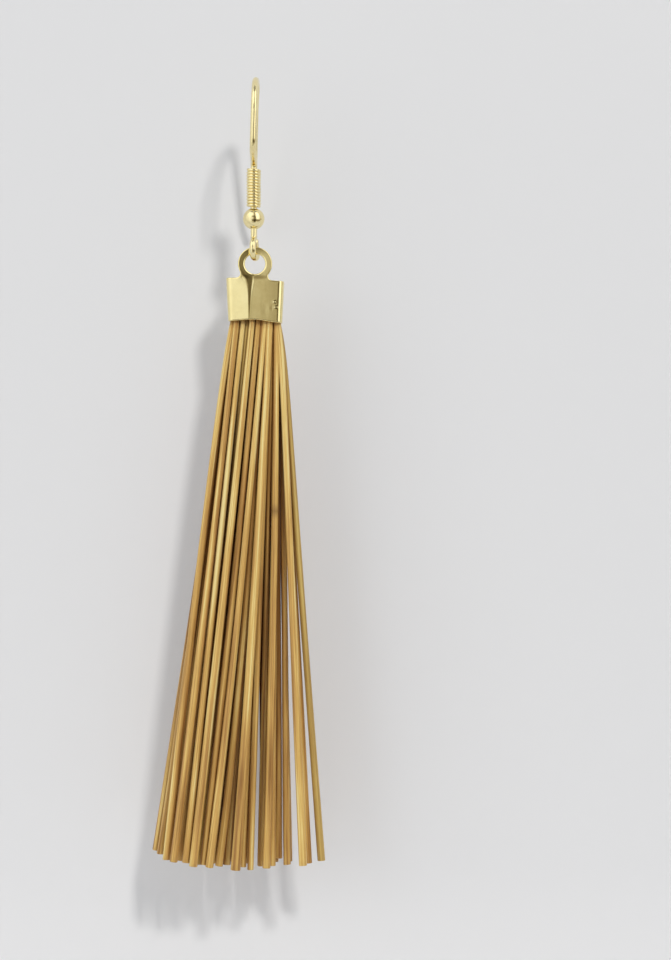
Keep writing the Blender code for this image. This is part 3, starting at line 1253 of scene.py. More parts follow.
    def relief(self, blank: np.ndarray) -> np.ndarray:
        """How far the front stands proud of its plane, as pressing and wear have left it.

        Just under the top edge the plate's relief gives way to the ring's, later towards the
        corners. The small marks are bell curves, narrower on their right side.

        Args:
            blank: Points as rows of (along the sheet, height).

        Returns:
            The offset outwards at each point, and 0 beyond the folds.
        """
        u, height = blank[..., 0], blank[..., 1]
        later = self.blend_delay * smooth_step((np.abs(u) - 0.0011) / 0.0008)
        share = smooth_step((height - self.top + self.blend_drop - later) / self.blend_height)
        marks = np.zeros_like(u)
        for mark in self.marks:
            flank = np.where(u > mark.along, mark.half_width * self.mark_flank, mark.half_width)
            across, up = (u - mark.along) / flank, (height - mark.height) / mark.half_height
            marks += mark.depth * np.exp(-(across**2) - up**2)
        shape = self.creased(u, height) * (1.0 - share) + self.ring_relief(u, height) * share
        return np.where(np.abs(u) < self.flat + 0.0003, shape - marks, 0.0)

    @staticmethod
    def bent(u: np.ndarray, corners: list[tuple[np.ndarray, float, float]]) -> np.ndarray:
        """A line of straight stretches with soft corners.

        It is the sum, over the corners, of turn * soft * ln(1 + e^((u - place) / soft)).

        Args:
            u: Places along the sheet.
            corners: Each corner's place, how much its slope grows there, and its softness.

        Returns:
            The line's height at each place.
        """
        return sum(
            turn * soft * np.logaddexp(0.0, (u - place) / soft) for place, turn, soft in corners
        )

    def inner_points(self, loops: list[np.ndarray]) -> np.ndarray:
        """Points inside the blank: a coarse grid, closer at the crease and at the raised marks.

        The crease has columns of its own, which follow its floor.

        Args:
            loops: The inner rims of the rounded edges, the outer one first.

        Returns:
            Points as rows of (along the sheet, height), moved a little at random.
        """
        low, high = self.mouth - 0.0003, self.ring_middle + self.ring_radius
        rows = np.arange(low, high, self.net_rows)
        floor = self.crease_lines(rows)[1][:, None]
        closer = np.arange(-0.00034, 0.00036, self.crease_columns)
        fine = np.stack(np.broadcast_arrays(floor + closer, rows[:, None]), axis=-1)
        columns = np.arange(-self.end, self.end, self.net_columns)
        grid = np.stack(np.meshgrid(columns, rows), axis=-1)
        apart = np.abs(grid[..., 0] - floor) > 0.00040
        mark_columns = np.arange(0.00178, 0.00242, self.mark_net)
        mark_rows = np.arange(-0.00560, -0.00420, self.mark_net)
        speck = np.stack(np.meshgrid(mark_columns, mark_rows), axis=-1)
        near_columns = np.abs(grid[..., 0] - 0.0021) < 0.00038
        near_rows = np.abs(grid[..., 1] + 0.00490) < 0.00076
        coarse = grid[apart & ~(near_columns & near_rows)]
        points = np.concatenate([coarse, fine.reshape(-1, 2), speck.reshape(-1, 2)])
        points += np.random.default_rng(5).uniform(-3e-6, 3e-6, points.shape)
        return points[self.between_loops(points, loops, self.net_margin)]

    @staticmethod
    def between_loops(points: np.ndarray, loops: list[np.ndarray], margin: float) -> np.ndarray:
        """Which points lie between closed loops and not too near to them.

        A point is between them where a line to its right crosses them an odd number of times.

        Args:
            points: Points in the plane.
            loops: The loops' points.
            margin: How far from every point of the loops they have to be.

        Returns:
            One truth value a point.
        """
        crossings = np.zeros(len(points), dtype=int)
        nearest = np.full(len(points), np.inf)
        x, y = points[:, None, 0], points[:, None, 1]
        for loop in loops:
            after = np.roll(loop, -1, axis=0)
            spans = (loop[:, 1] > y) != (after[:, 1] > y)
            rise = after[:, 1] - loop[:, 1]
            rise = np.where(np.abs(rise) < 1e-15, 1e-15, rise)
            across = loop[:, 0] + (y - loop[:, 1]) * (after[:, 0] - loop[:, 0]) / rise
            crossings += np.sum(spans & (across > x), axis=1)
            gaps = np.min(np.sum((points[:, None, :] - loop) ** 2, axis=-1), axis=1)
            nearest = np.minimum(nearest, np.sqrt(gaps))
        return (crossings % 2 == 1) & (nearest > margin)

    def folded(self, blank: np.ndarray, lift: np.ndarray) -> np.ndarray:
        """Folds the blank: each point goes to the bent middle line, and out along its normal.

        The middle line is run along with a heading that turns evenly over each fold, so its place
        is the running sum of the heading's cosine and sine. The mouth is then pinched in.

        Args:
            blank: Points as rows of (along the sheet, height).
            lift: How far each point lies outside the sheet's middle.

        Returns:
            Places in the frame of the model.
        """
        run = np.linspace(0.0, self.end + 0.0005, 6001)
        arc = self.fold * math.pi / 2
        bent, straight = self.flat + arc, self.reach - self.flat - 2 * arc
        knots = [0.0, self.flat, bent, bent + straight, self.reach, self.end + MM]
        quarters = [0.0, 0.0, QUARTER_TURN, QUARTER_TURN, math.pi, math.pi]
        heading = np.interp(run, knots, quarters)
        step = run[1] - run[0]
        x_line = np.concatenate([[0.0], np.cumsum(np.cos(heading[:-1]) * step)])
        y_line = np.concatenate([[0.0], np.cumsum(np.sin(heading[:-1]) * step)])
        sign = np.sign(blank[:, 0])
        length = np.abs(blank[:, 0])
        facing = np.interp(length, run, heading)
        x = sign * (np.interp(length, run, x_line) + lift * np.sin(facing))
        y = np.interp(length, run, y_line) - lift * np.cos(facing)
        share = np.clip((self.top - blank[:, 1]) / (self.top - self.mouth), 0.0, 1.0)
        x = x * (1.0 - self.pinch / self.side * share)
        return np.column_stack([x, y, blank[:, 1] + self.pivot])

    def rounded_rim(self, loop: np.ndarray, inset: float) -> tuple[np.ndarray, np.ndarray]:
        """Rounds one face's edge over by a quarter oval, from the sheet's middle to the face.

        At the angle t a rim lies inset * (1 - cos t) inside the loop, and sin t of half the sheet
        from its middle. Two more rims follow on the face.

        Args:
            loop: The edge's points on the blank.
            inset: How wide the rounding is.

        Returns:
            The rims, and the lift of each of their points.
        """
        turn = np.radians([0.0, 22.0, 42.0, 60.0, 76.0, 90.0, 90.0, 90.0])
        beyond = (0.0, 0.0, 0.0, 0.0, 0.0, 0.0, 0.00003, 0.00007)
        ahead = np.roll(loop, -1, axis=0) - np.roll(loop, 1, axis=0)
        inward = unit(np.column_stack([-ahead[:, 1], ahead[:, 0]]))
        rims = [
            loop + inward * (inset * (1 - math.cos(angle)) + extra)
            for angle, extra in zip(turn, beyond)
        ]
        lifts = [math.sin(angle) * self.sheet / 2 for angle in turn]
        return np.array(rims), np.repeat(lifts, len(loop))

    def build(self) -> bpy.types.Object:
        """Makes the whole cap as one closed sheet.

        Both faces are the same triangles. They are joined along the outline and round the hole,
        where they share the middle rim of the rounded edge.

        Returns:
            The cap.
        """
        around = round_angles(96)[::-1]
        hole = np.column_stack([np.cos(around), np.sin(around)]) * self.hole_radius
        hole[:, 1] += self.ring_middle
        outer_rims, outer_lift = self.rounded_rim(self.outline(0.00007), self.edge)
        hole_rims, hole_lift = self.rounded_rim(hole, self.hole_edge)
        filling = self.inner_points([outer_rims[-1], hole_rims[-1]])
        start, bands, shared, netted = 0, [], [], []
        for rims in (outer_rims, hole_rims):
            count, sides = rims.shape[:2]
            bands.append(ring_faces(count, sides) + start)
            shared.append(np.arange(sides) + start)
            start += count * sides
            netted.append(np.arange(start - sides, start))
        netted.append(np.arange(start, start + len(filling)))
        triangles = self.filled(outer_rims[-1], hole_rims[-1], filling)
        front, band = np.concatenate(netted)[triangles], np.concatenate(bands)
        blank = np.concatenate([outer_rims.reshape(-1, 2), hole_rims.reshape(-1, 2), filling])
        lift = np.concatenate([outer_lift, hole_lift, np.full(len(filling), self.sheet / 2)])
        twin = np.arange(len(blank)) + len(blank)
        twin[np.concatenate(shared)] -= len(blank)
        relief = self.relief(blank)
        skins = [self.folded(blank, relief + lift), self.folded(blank, relief - lift)]
        faces = [front, band, twin[front][:, ::-1], twin[band][:, ::-1]]
        surface = Surface()
        surface.add(np.concatenate(skins), faces)
        return surface.piece("folded_cap")

    @staticmethod
    def filled(outer: np.ndarray, hole: np.ndarray, filling: np.ndarray) -> np.ndarray:
        """Joins two loops and the points between them by a constrained Delaunay net.

        Args:
            outer: The outer loop.
            hole: The inner loop.
            filling: The points between them.

        Returns:
            One row a triangle, whose numbers count the outer loop, the hole and the filling.
        """
        points = np.concatenate([outer, hole, filling]) / MM
        rims = (np.arange(len(outer)), len(outer) + np.arange(len(hole)))
        edges = np.concatenate([np.column_stack([rim, np.roll(rim, -1)]) for rim in rims])
        _, _, faces, origins, _, _ = delaunay_2d_cdt(
            [Vector(point) for point in points], edges.tolist(), [], 1, 1e-7
        )
        number = np.array([origin[0] for origin in origins])
        net = number[np.array(faces)]
        centres = points[net].mean(axis=1)
        middle = hole.mean(axis=0) / MM
        reach = np.linalg.norm(hole / MM - middle, axis=1).min()
        net = net[np.linalg.norm(centres - middle, axis=1) > reach]
        a, b, c = (points[net[:, corner]] for corner in range(3))
        ab, ac = b - a, c - a
        turned = ab[:, 0] * ac[:, 1] - ab[:, 1] * ac[:, 0] < 0
        net[turned] = net[turned][:, ::-1]
        return net


# The tassel


class Tone(Enum):
    """The straws' colours, as places on the finish's scale from brown to pale; the dark ones are
    partly painted shade.
    """

    UMBER = 0.32
    BROWN = 0.47
    TAN = 0.62
    GOLD = 0.77
    PALE = 0.93


@dataclass(frozen=True)
class Stem:
    """One straw: its places across in millimetres, its row from front to back, and its look."""

    mouth: float
    foot: float
    bow: float
    row: float
    tone: Tone
    width: float = 1.0
    trim: float = 0.0
    olive: float = 0.0
    knot: float = 0.0


@dataclass
class Tassel:
    """A fan of straws, glued at their tops into a block that the cap holds.

    A foot step is a ring of the cut foot: its share of the radius, how far it lies below the cut,
    and its share of pith. Straws further back than the traced ones fill the gaps, and their
    brown tones are partly painted shade, for lying deep in the bundle.
    """

    pivot: float
    cap: Cap
    middle_y: float = 0.001175
    length: float = 0.0574
    grip: float = 0.0015
    mouth_half: float = 2.34
    squeeze: float = 0.05
    mouth_depth: float = 0.00066
    foot_depth: float = 0.0031
    mouth_radius: float = 0.00029
    foot_radius: float = 0.00042
    trim_rise: float = 0.0012
    trim_scatter: float = 0.16
    wave_sizes: tuple[float, float] = (0.03, 0.09)
    wave_turns: tuple[float, float] = (5.2, 4.4)
    swell: float = 0.03
    knot_swell: float = 0.06
    knot_length: float = 0.007
    lobe_sizes: tuple[float, float] = (0.008, 0.03)
    slant: float = 0.12
    # These four set the painted shade between the straws and the painted shadow under the cap's
    # mouth.
    hiding: float = 0.72
    mouth_hiding: float = 0.45
    mouth_reach: float = 0.2
    mouth_shadow: float = 0.0003
    shared_tone: float = 0.56
    tone_pull: float = 0.62
    tone_scatter: float = 0.05
    head_gaps: tuple[float, float] = (0.00016, 0.00013)
    sections: int = 72
    sides: int = 16
    seed: int = 11
    foot_steps: tuple[tuple[float, float, float], ...] = (
        (0.94, 0.00003, 0.3),
        (0.80, 0.000035, 1.0),
        (0.62, -0.00002, 1.0),
        (0.30, -0.00005, 1.0),
    )
    stems: tuple[Stem, ...] = (
        Stem(-2.34, -10.62, 0.16, 0.75, Tone.BROWN, 0.92),
        Stem(-2.36, -10.06, 0.12, 0.15, Tone.TAN, 0.95),
        Stem(-2.56, -9.29, -0.23, -0.60, Tone.TAN, 0.98),
        Stem(-1.98, -8.46, 0.17, -0.95, Tone.TAN, 1.02),
        Stem(-1.70, -8.01, 0.00, -0.15, Tone.BROWN, 0.95),
        Stem(-1.27, -7.20, -0.02, -0.80, Tone.PALE, 0.92),
        Stem(-0.33, -6.38, 0.09, -1.05, Tone.PALE, 1.08),
        Stem(-0.83, -5.95, 0.00, -0.30, Tone.GOLD, 0.90, olive=0.35),
        Stem(0.31, -5.34, 0.20, -0.72, Tone.TAN, 0.92),
        Stem(1.03, -4.71, 0.30, -0.95, Tone.GOLD, 0.95),
        Stem(0.17, -4.41, 0.00, -0.10, Tone.BROWN, 0.95),
        Stem(0.70, -3.81, 0.72, -0.45, Tone.BROWN, 0.98),
        Stem(1.12, -3.01, 0.00, -0.20, Tone.BROWN, 1.00),
        Stem(1.54, -1.97, 0.21, -1.00, Tone.GOLD, 1.18),
        Stem(1.40, -1.31, 0.00, -0.30, Tone.BROWN, 0.92),
        Stem(1.65, -0.46, -0.13, -0.55, Tone.GOLD, 0.80),
        Stem(1.81, 0.58, 0.00, -0.10, Tone.BROWN, 0.92),
        Stem(2.25, 1.23, 0.22, -0.75, Tone.TAN, 1.00, knot=0.345),
        Stem(2.01, 1.79, 0.00, -0.25, Tone.TAN, 0.88),
        Stem(2.27, 2.43, 0.00, 0.15, Tone.UMBER, 0.92, trim=0.55),
        Stem(2.75, 3.36, -0.01, -0.10, Tone.BROWN, 0.92),
        Stem(2.63, 5.04, 0.03, -0.80, Tone.GOLD, 1.02),
        Stem(2.68, 5.63, 0.00, 0.10, Tone.BROWN, 0.85),
        Stem(2.85, 6.95, -0.06, -0.30, Tone.TAN, 0.95, olive=0.35),
        # From here on the straws lie behind the traced ones; their dark tones are partly painted
        # shade for lying deep in the bundle.
        Stem(-2.54, -9.84, 0.00, 0.55, Tone.BROWN, 0.95),
        Stem(-2.33, -9.12, 0.00, 0.35, Tone.UMBER, 0.95),
        Stem(-1.97, -8.56, 0.00, 0.80, Tone.UMBER, 0.95),
        Stem(-1.59, -7.81, 0.00, 0.50, Tone.UMBER, 0.95),
        Stem(-1.27, -7.01, 0.00, 0.25, Tone.BROWN, 0.95),
        Stem(-0.97, -6.48, 0.00, 0.80, Tone.UMBER, 0.95),
        Stem(-0.58, -5.82, 0.00, 0.40, Tone.BROWN, 0.95),
        Stem(-0.28, -5.28, 0.00, 0.90, Tone.UMBER, 0.95),
        Stem(0.04, -4.37, 0.00, 0.60, Tone.UMBER, 0.95),
        Stem(0.37, -3.52, 0.00, 0.35, Tone.UMBER, 0.95),
        Stem(0.62, -2.71, 0.00, 0.75, Tone.UMBER, 0.95),
        Stem(0.95, -1.93, 0.00, 0.30, Tone.UMBER, 0.95),
        Stem(1.21, -1.21, 0.00, 0.65, Tone.UMBER, 0.90),
        Stem(1.48, -0.75, 0.00, 0.20, Tone.UMBER, 0.90),
        Stem(1.68, 0.67, 0.00, 0.70, Tone.UMBER, 0.90),
        Stem(1.90, 1.29, 0.00, 0.40, Tone.UMBER, 0.90),
        Stem(2.15, 1.99, 0.00, 0.90, Tone.UMBER, 0.90),
        Stem(2.48, 3.50, 0.00, 0.60, Tone.UMBER, 0.85),
        Stem(0.75, 0.80, 0.00, 0.45, Tone.UMBER, 0.98),
        Stem(-0.38, -3.96, 0.00, 0.70, Tone.UMBER, 0.95),
    )

    def __post_init__(self) -> None:
        """Places the sections: 0 is the cap's mouth, 1 the foot, and below 0 is inside the cap."""
        self.t = np.linspace(-self.grip / self.length, 1.0, self.sections)
        self.open_t = np.maximum(self.t, 0.0)

    def numbers(self, name: str) -> np.ndarray:
        """One number of every straw, as a column."""
        return np.array([getattr(stem, name) for stem in self.stems])[:, None]

    def paths(self, rng: np.random.Generator) -> np.ndarray:
        """Every straw's middle line from inside the cap to its foot.

        Across, a place is the straight line from mouth to foot plus bow * 4t(1 - t) and a slow
        wave. The cap's walls squeeze the outer ones in, and that shift fades as e^(-t / squeeze).
        In depth a place is the row's share of the half depth, which grows from mouth to foot, plus
        a wave. The feet are trimmed to a shallow arc, a little unevenly.

        Args:
            rng: The tassel's own numbers.

        Returns:
            Points, with axes for the straw and the place along it.
        """
        mouth, foot, bow, row, trim = map(self.numbers, ("mouth", "foot", "bow", "row", "trim"))
        t, open_t, count = self.t, self.open_t, len(self.stems)
        phase = rng.uniform(0.0, FULL_TURN, (2, count, 1))
        size = rng.uniform(*self.wave_sizes, (2, count, 1))
        hump = open_t * (1.2 - open_t)
        held = np.clip(mouth, -self.mouth_half, self.mouth_half)
        squeezed = (held - mouth) * np.exp(-open_t / self.squeeze)
        bowed = bow * 4 * open_t * (1 - open_t)
        wave = size[0] * np.sin(self.wave_turns[0] * open_t + phase[0]) * hump
        x = (mouth + squeezed + (foot - mouth) * open_t + bowed + wave) * MM
        share = foot / np.abs(foot).max()
        depth = row * np.sqrt(1 - (0.7 * share) ** 2)
        y = self.middle_y + row * self.mouth_depth * (1 - open_t) + depth * self.foot_depth * open_t
        y = y + size[1] * MM * np.sin(self.wave_turns[1] * open_t + phase[1]) * hump
        scatter = rng.uniform(-self.trim_scatter, self.trim_scatter, (count, 1))
        rise = self.trim_rise * share**2 + (scatter + trim) * MM
        z = self.pivot + self.cap.mouth - (self.length - rise) * t
        return np.stack(np.broadcast_arrays(x, y, z), axis=-1)

    def paint_gap_shade(self, paths: np.ndarray, rings: np.ndarray, radii: np.ndarray) -> np.ndarray:
        """How closed in each point of the straws is by the others.

        At the same place along, another straw at the distance d with the radius r hides about
        r² / d² of what a point faces, times the cosine between the point's outward direction and
        it, and at most the share named hiding. What is left open is the product over all the
        others. Near the cap this counts for less, and a thin painted shadow lies under the cap's
        mouth. The result is painted shade, which the finish multiplies into the straws' colour.

        Args:
            paths: The middle lines.
            rings: The straws' points.
            radii: Their radii along the way.

        Returns:
            From 0, free, to 1, closed in, for each point.
        """
        outward = unit(rings - paths[:, :, None, :])
        open_share = np.ones(rings.shape[:-1])
        for other in range(len(paths)):
            away = paths[other][None, :, None, :] - rings
            distance = np.linalg.norm(away, axis=-1)
            facing = np.sum(outward * away, axis=-1) / np.maximum(distance, 1e-9)
            width = radii[other][None, :, None] / np.maximum(distance, 1e-9)
            hidden = np.clip(facing, 0.0, 1.0) * np.clip(width, 0.0, 1.0) ** 2
            hidden[other] = 0.0
            open_share *= 1.0 - self.hiding * hidden
        shaded = np.exp(-self.open_t * self.length / self.mouth_shadow)[:, None]
        free = smooth_step(self.open_t / self.mouth_reach)[:, None]
        counts = self.mouth_hiding + (1.0 - self.mouth_hiding) * free
        return np.maximum((1.0 - open_share) * counts, 0.5 * shaded)

    def radii(self, rng: np.random.Generator, knotted: np.ndarray) -> np.ndarray:
        """Each straw's radius along it, growing to the foot, with a slow swell and its knot.

        Args:
            rng: The tassel's own numbers.
            knotted: How much of a knot there is at each place.

        Returns:
            Radii, with axes for the straw and the place along it.
        """
        waves = np.sin(9.0 * self.open_t + rng.uniform(0, 6.28, (len(self.stems), 1)))
        swell = 1.0 + self.swell * waves + self.knot_swell * knotted
        growth = (self.foot_radius - self.mouth_radius) * self.open_t**0.85
        return (self.mouth_radius + growth) * self.numbers("width") * swell

    def whole(self, body: np.ndarray | float, foot: np.ndarray | float) -> np.ndarray:
        """Joins the numbers of the straws' bodies and of their feet.

        Args:
            body: Numbers that spread over straws, places along and sides.
            foot: Numbers that spread over straws and points of a foot.

        Returns:
            One row a straw, with a number for each of its points.
        """
        count, feet = len(self.stems), len(self.foot_steps) * self.sides + 2
        spread = np.broadcast_to(body, (count, self.sections, self.sides)).reshape(count, -1)
        return np.concatenate([spread, np.broadcast_to(foot, (count, feet))], axis=1)

    def looks(
        self, rng: np.random.Generator, crowded: np.ndarray, knotted: np.ndarray
    ) -> dict[str, np.ndarray]:
        """What the finish reads at each point of the straws.

        The straws' tones, partly painted shade for the back ones, draw together towards the feet.

        Args:
            rng: The tassel's own numbers.
            crowded: How closed in each point of the bodies is.
            knotted: How much of a knot there is at each place.

        Returns:
            For each name one row a straw.
        """
        count, feet = (len(self.stems), 1, 1), len(self.foot_steps)
        tone = np.array([stem.tone.value for stem in self.stems])[:, None, None]
        pulled = (self.shared_tone - tone) * self.tone_pull * self.open_t[:, None]
        tone = tone + pulled + rng.uniform(-self.tone_scatter, self.tone_scatter, count)
        number = rng.uniform(0.0, 80.0, count)
        olive = self.numbers("olive")
        bearing = np.abs(round_angles(self.sides) / FULL_TURN * 2 - 1) * 4
        pith = np.repeat([share for _, _, share in self.foot_steps], self.sides)
        return {
            "round": self.whole(bearing, np.append(np.tile(bearing, feet), [0.0, 0.0])),
            "along": self.whole(self.t[:, None] * self.length / MM, self.length / MM),
            "stem": self.whole(number, number[:, 0]),
            "tone": self.whole(tone, 0.6),
            "olive": self.whole(olive[..., None], olive),
            "knot": self.whole(knotted[..., None], 0.0),
            # The painted shade between the straws; each foot takes the mean of its last ring.
            "crowded": self.whole(crowded, crowded[:, -1].mean(axis=-1, keepdims=True)),
            "pith": self.whole(0.0, np.append(pith, [1.0, 0.0])),
        }

    def with_feet(
        self, rng: np.random.Generator, paths: np.ndarray, rings: np.ndarray, radii: np.ndarray
    ) -> np.ndarray:
        """Adds the cut feet: a slanting cut that turns in over a fine rim to a shallow hollow.

        Args:
            rng: The tassel's own numbers.
            paths: The middle lines.
            rings: The bodies' points, of which the last rings are slanted here.
            radii: Their radii along the way.

        Returns:
            One row of points a straw, ending with the foot's middle and the top's.
        """
        count = len(self.stems)
        slope = rng.uniform(-self.slant, self.slant, (count, 1))
        slant = slope * np.cos(round_angles(self.sides) + rng.uniform(0, 6.28, (count, 1)))
        drop = tangents(paths)[:, -1, None, :]
        middle = paths[:, -1, None, :]
        rings[:, -1] += slant[..., None] * radii[:, -1, None, None] * drop
        steps = [
            middle + (rings[:, -1] - middle) * share + drop * lower
            for share, lower, _ in self.foot_steps
        ]
        tips = [middle - drop * 0.00005, paths[:, :1]]
        return np.concatenate([rings.reshape(count, -1, 3), *steps, *tips], axis=1)

    def build_straws(self) -> bpy.types.Object:
        """Carries an uneven round section along every straw at once, and closes the cut feet.

        A section's radius is the straw's own, times 1 plus three small waves round it.

        Returns:
            The straws.
        """
        rng = np.random.default_rng(self.seed)
        count, sides = (len(self.stems), 1, 1), self.sides
        paths = self.paths(rng)
        knot = self.numbers("knot")
        bell = np.exp(-(((self.open_t - knot) / self.knot_length) ** 2))
        knotted = np.where(knot > 0, bell, 0.0)
        radii = self.radii(rng, knotted)
        angle = round_angles(sides)
        lobes = 1.0 + sum(
            rng.uniform(*self.lobe_sizes, count) * np.cos(n * angle + rng.uniform(0, 6.28, count))
            for n in (2, 3, 5)
        )
        rings = round_section(paths, np.array([1.0, 0.0, 0.0]), radii[..., None] * lobes, sides)
        looks = self.looks(rng, self.paint_gap_shade(paths, rings, radii), knotted)
        straws = self.with_feet(rng, paths, rings, radii)
        total = self.sections + len(self.foot_steps)
        faces = [
            ring_faces(total, sides),
            fan_faces(total * sides, (total - 1) * sides, sides, reverse=False),
            fan_faces(total * sides + 1, 0, sides, reverse=True),
        ]
        surface = Surface()
        for index, points in enumerate(straws):
            surface.add(points, faces, **{name: rows[index] for name, rows in looks.items()})
        return surface.piece("straw_stems")

    def build_head(self) -> bpy.types.Object:
        """The glued block inside the cap: a rounded box with an uneven top.

        Its section is a rounded rectangle, the curve |x/a|⁶ + |y/b|⁶ = 1, and its top sinks and
        rises by a few hundredths of a millimetre where the straws' ends are.

        Returns:
            The head.
        """
        cap, sides = self.cap, 96
        half_x = cap.side - cap.pinch - cap.sheet / 2 - self.head_gaps[0]
        half_y = self.middle_y - cap.sheet / 2 - self.head_gaps[1]
        angle = round_angles(sides)
        power = (np.abs(np.cos(angle)) ** 6 + np.abs(np.sin(angle)) ** 6) ** (-1 / 6)
        loop = np.column_stack([np.cos(angle) * power * half_x, np.sin(angle) * power * half_y])
        low = self.pivot + cap.mouth + 0.0004
        high = self.pivot + cap.top - 0.0006
        heights = np.array([low, low, low + 0.00008, high - 0.0001, high, high, high, high])
        shares = np.array([0.55, 0.93, 1.0, 1.0, 0.93, 0.62, 0.4, 0.2])
        rings = np.empty((len(shares), sides, 3))
        rings[..., :2] = loop * shares[:, None, None]
        rings[..., 1] += self.middle_y
        rings[..., 2] = heights[:, None]
        lumps = 0.00004 * np.sin(rings[..., 0] / 0.00017) * np.sin(rings[..., 1] / 0.00015)
        rings[4:, :, 2] += lumps[4:]
        middle = np.array([[0.0, self.middle_y, low], [0.0, self.middle_y, high]])
        total = len(shares)
        faces = [
            ring_faces(total, sides),
            fan_faces(total * sides, 0, sides, reverse=True),
            fan_faces(total * sides + 1, (total - 1) * sides, sides, reverse=False),
        ]
        surface = Surface()
        points = np.concatenate([rings.reshape(-1, 3), middle])
        # The glued block gets an even painted shade.
        looks = {"stem": 3.0, "tone": Tone.BROWN.value, "crowded": 0.35}
        looks |= dict.fromkeys(("olive", "knot", "pith"), 0.0)
        looks |= {"round": points[:, 0] / MM * 3, "along": points[:, 1] / MM * 3}
        surface.add(points, faces, **looks)
        return surface.piece("glued_head")


# The studio


@dataclass(frozen=True)
class SoftLight:
    """A square soft light that faces the earring: its place, side, watts and colour."""

    name: str
    place: tuple[float, float, float]
    size: float
    power: float
    tint: tuple[float, float, float]

    def hang(self, target: Vector) -> None:
        """Adds the light, which mirrors do not show.

        Args:
            target: What it faces.
        """
        data = bpy.data.lights.new(self.name, "AREA")
        data.size = self.size
        data.energy = self.power
        data.color = self.tint
        light = bpy.data.objects.new(self.name, data)
        light.visible_glossy = False
        light.location = self.place
        towards = target - Vector(self.place)
        light.rotation_euler = towards.to_track_quat("-Z", "Y").to_euler()
        bpy.context.scene.collection.objects.link(light)


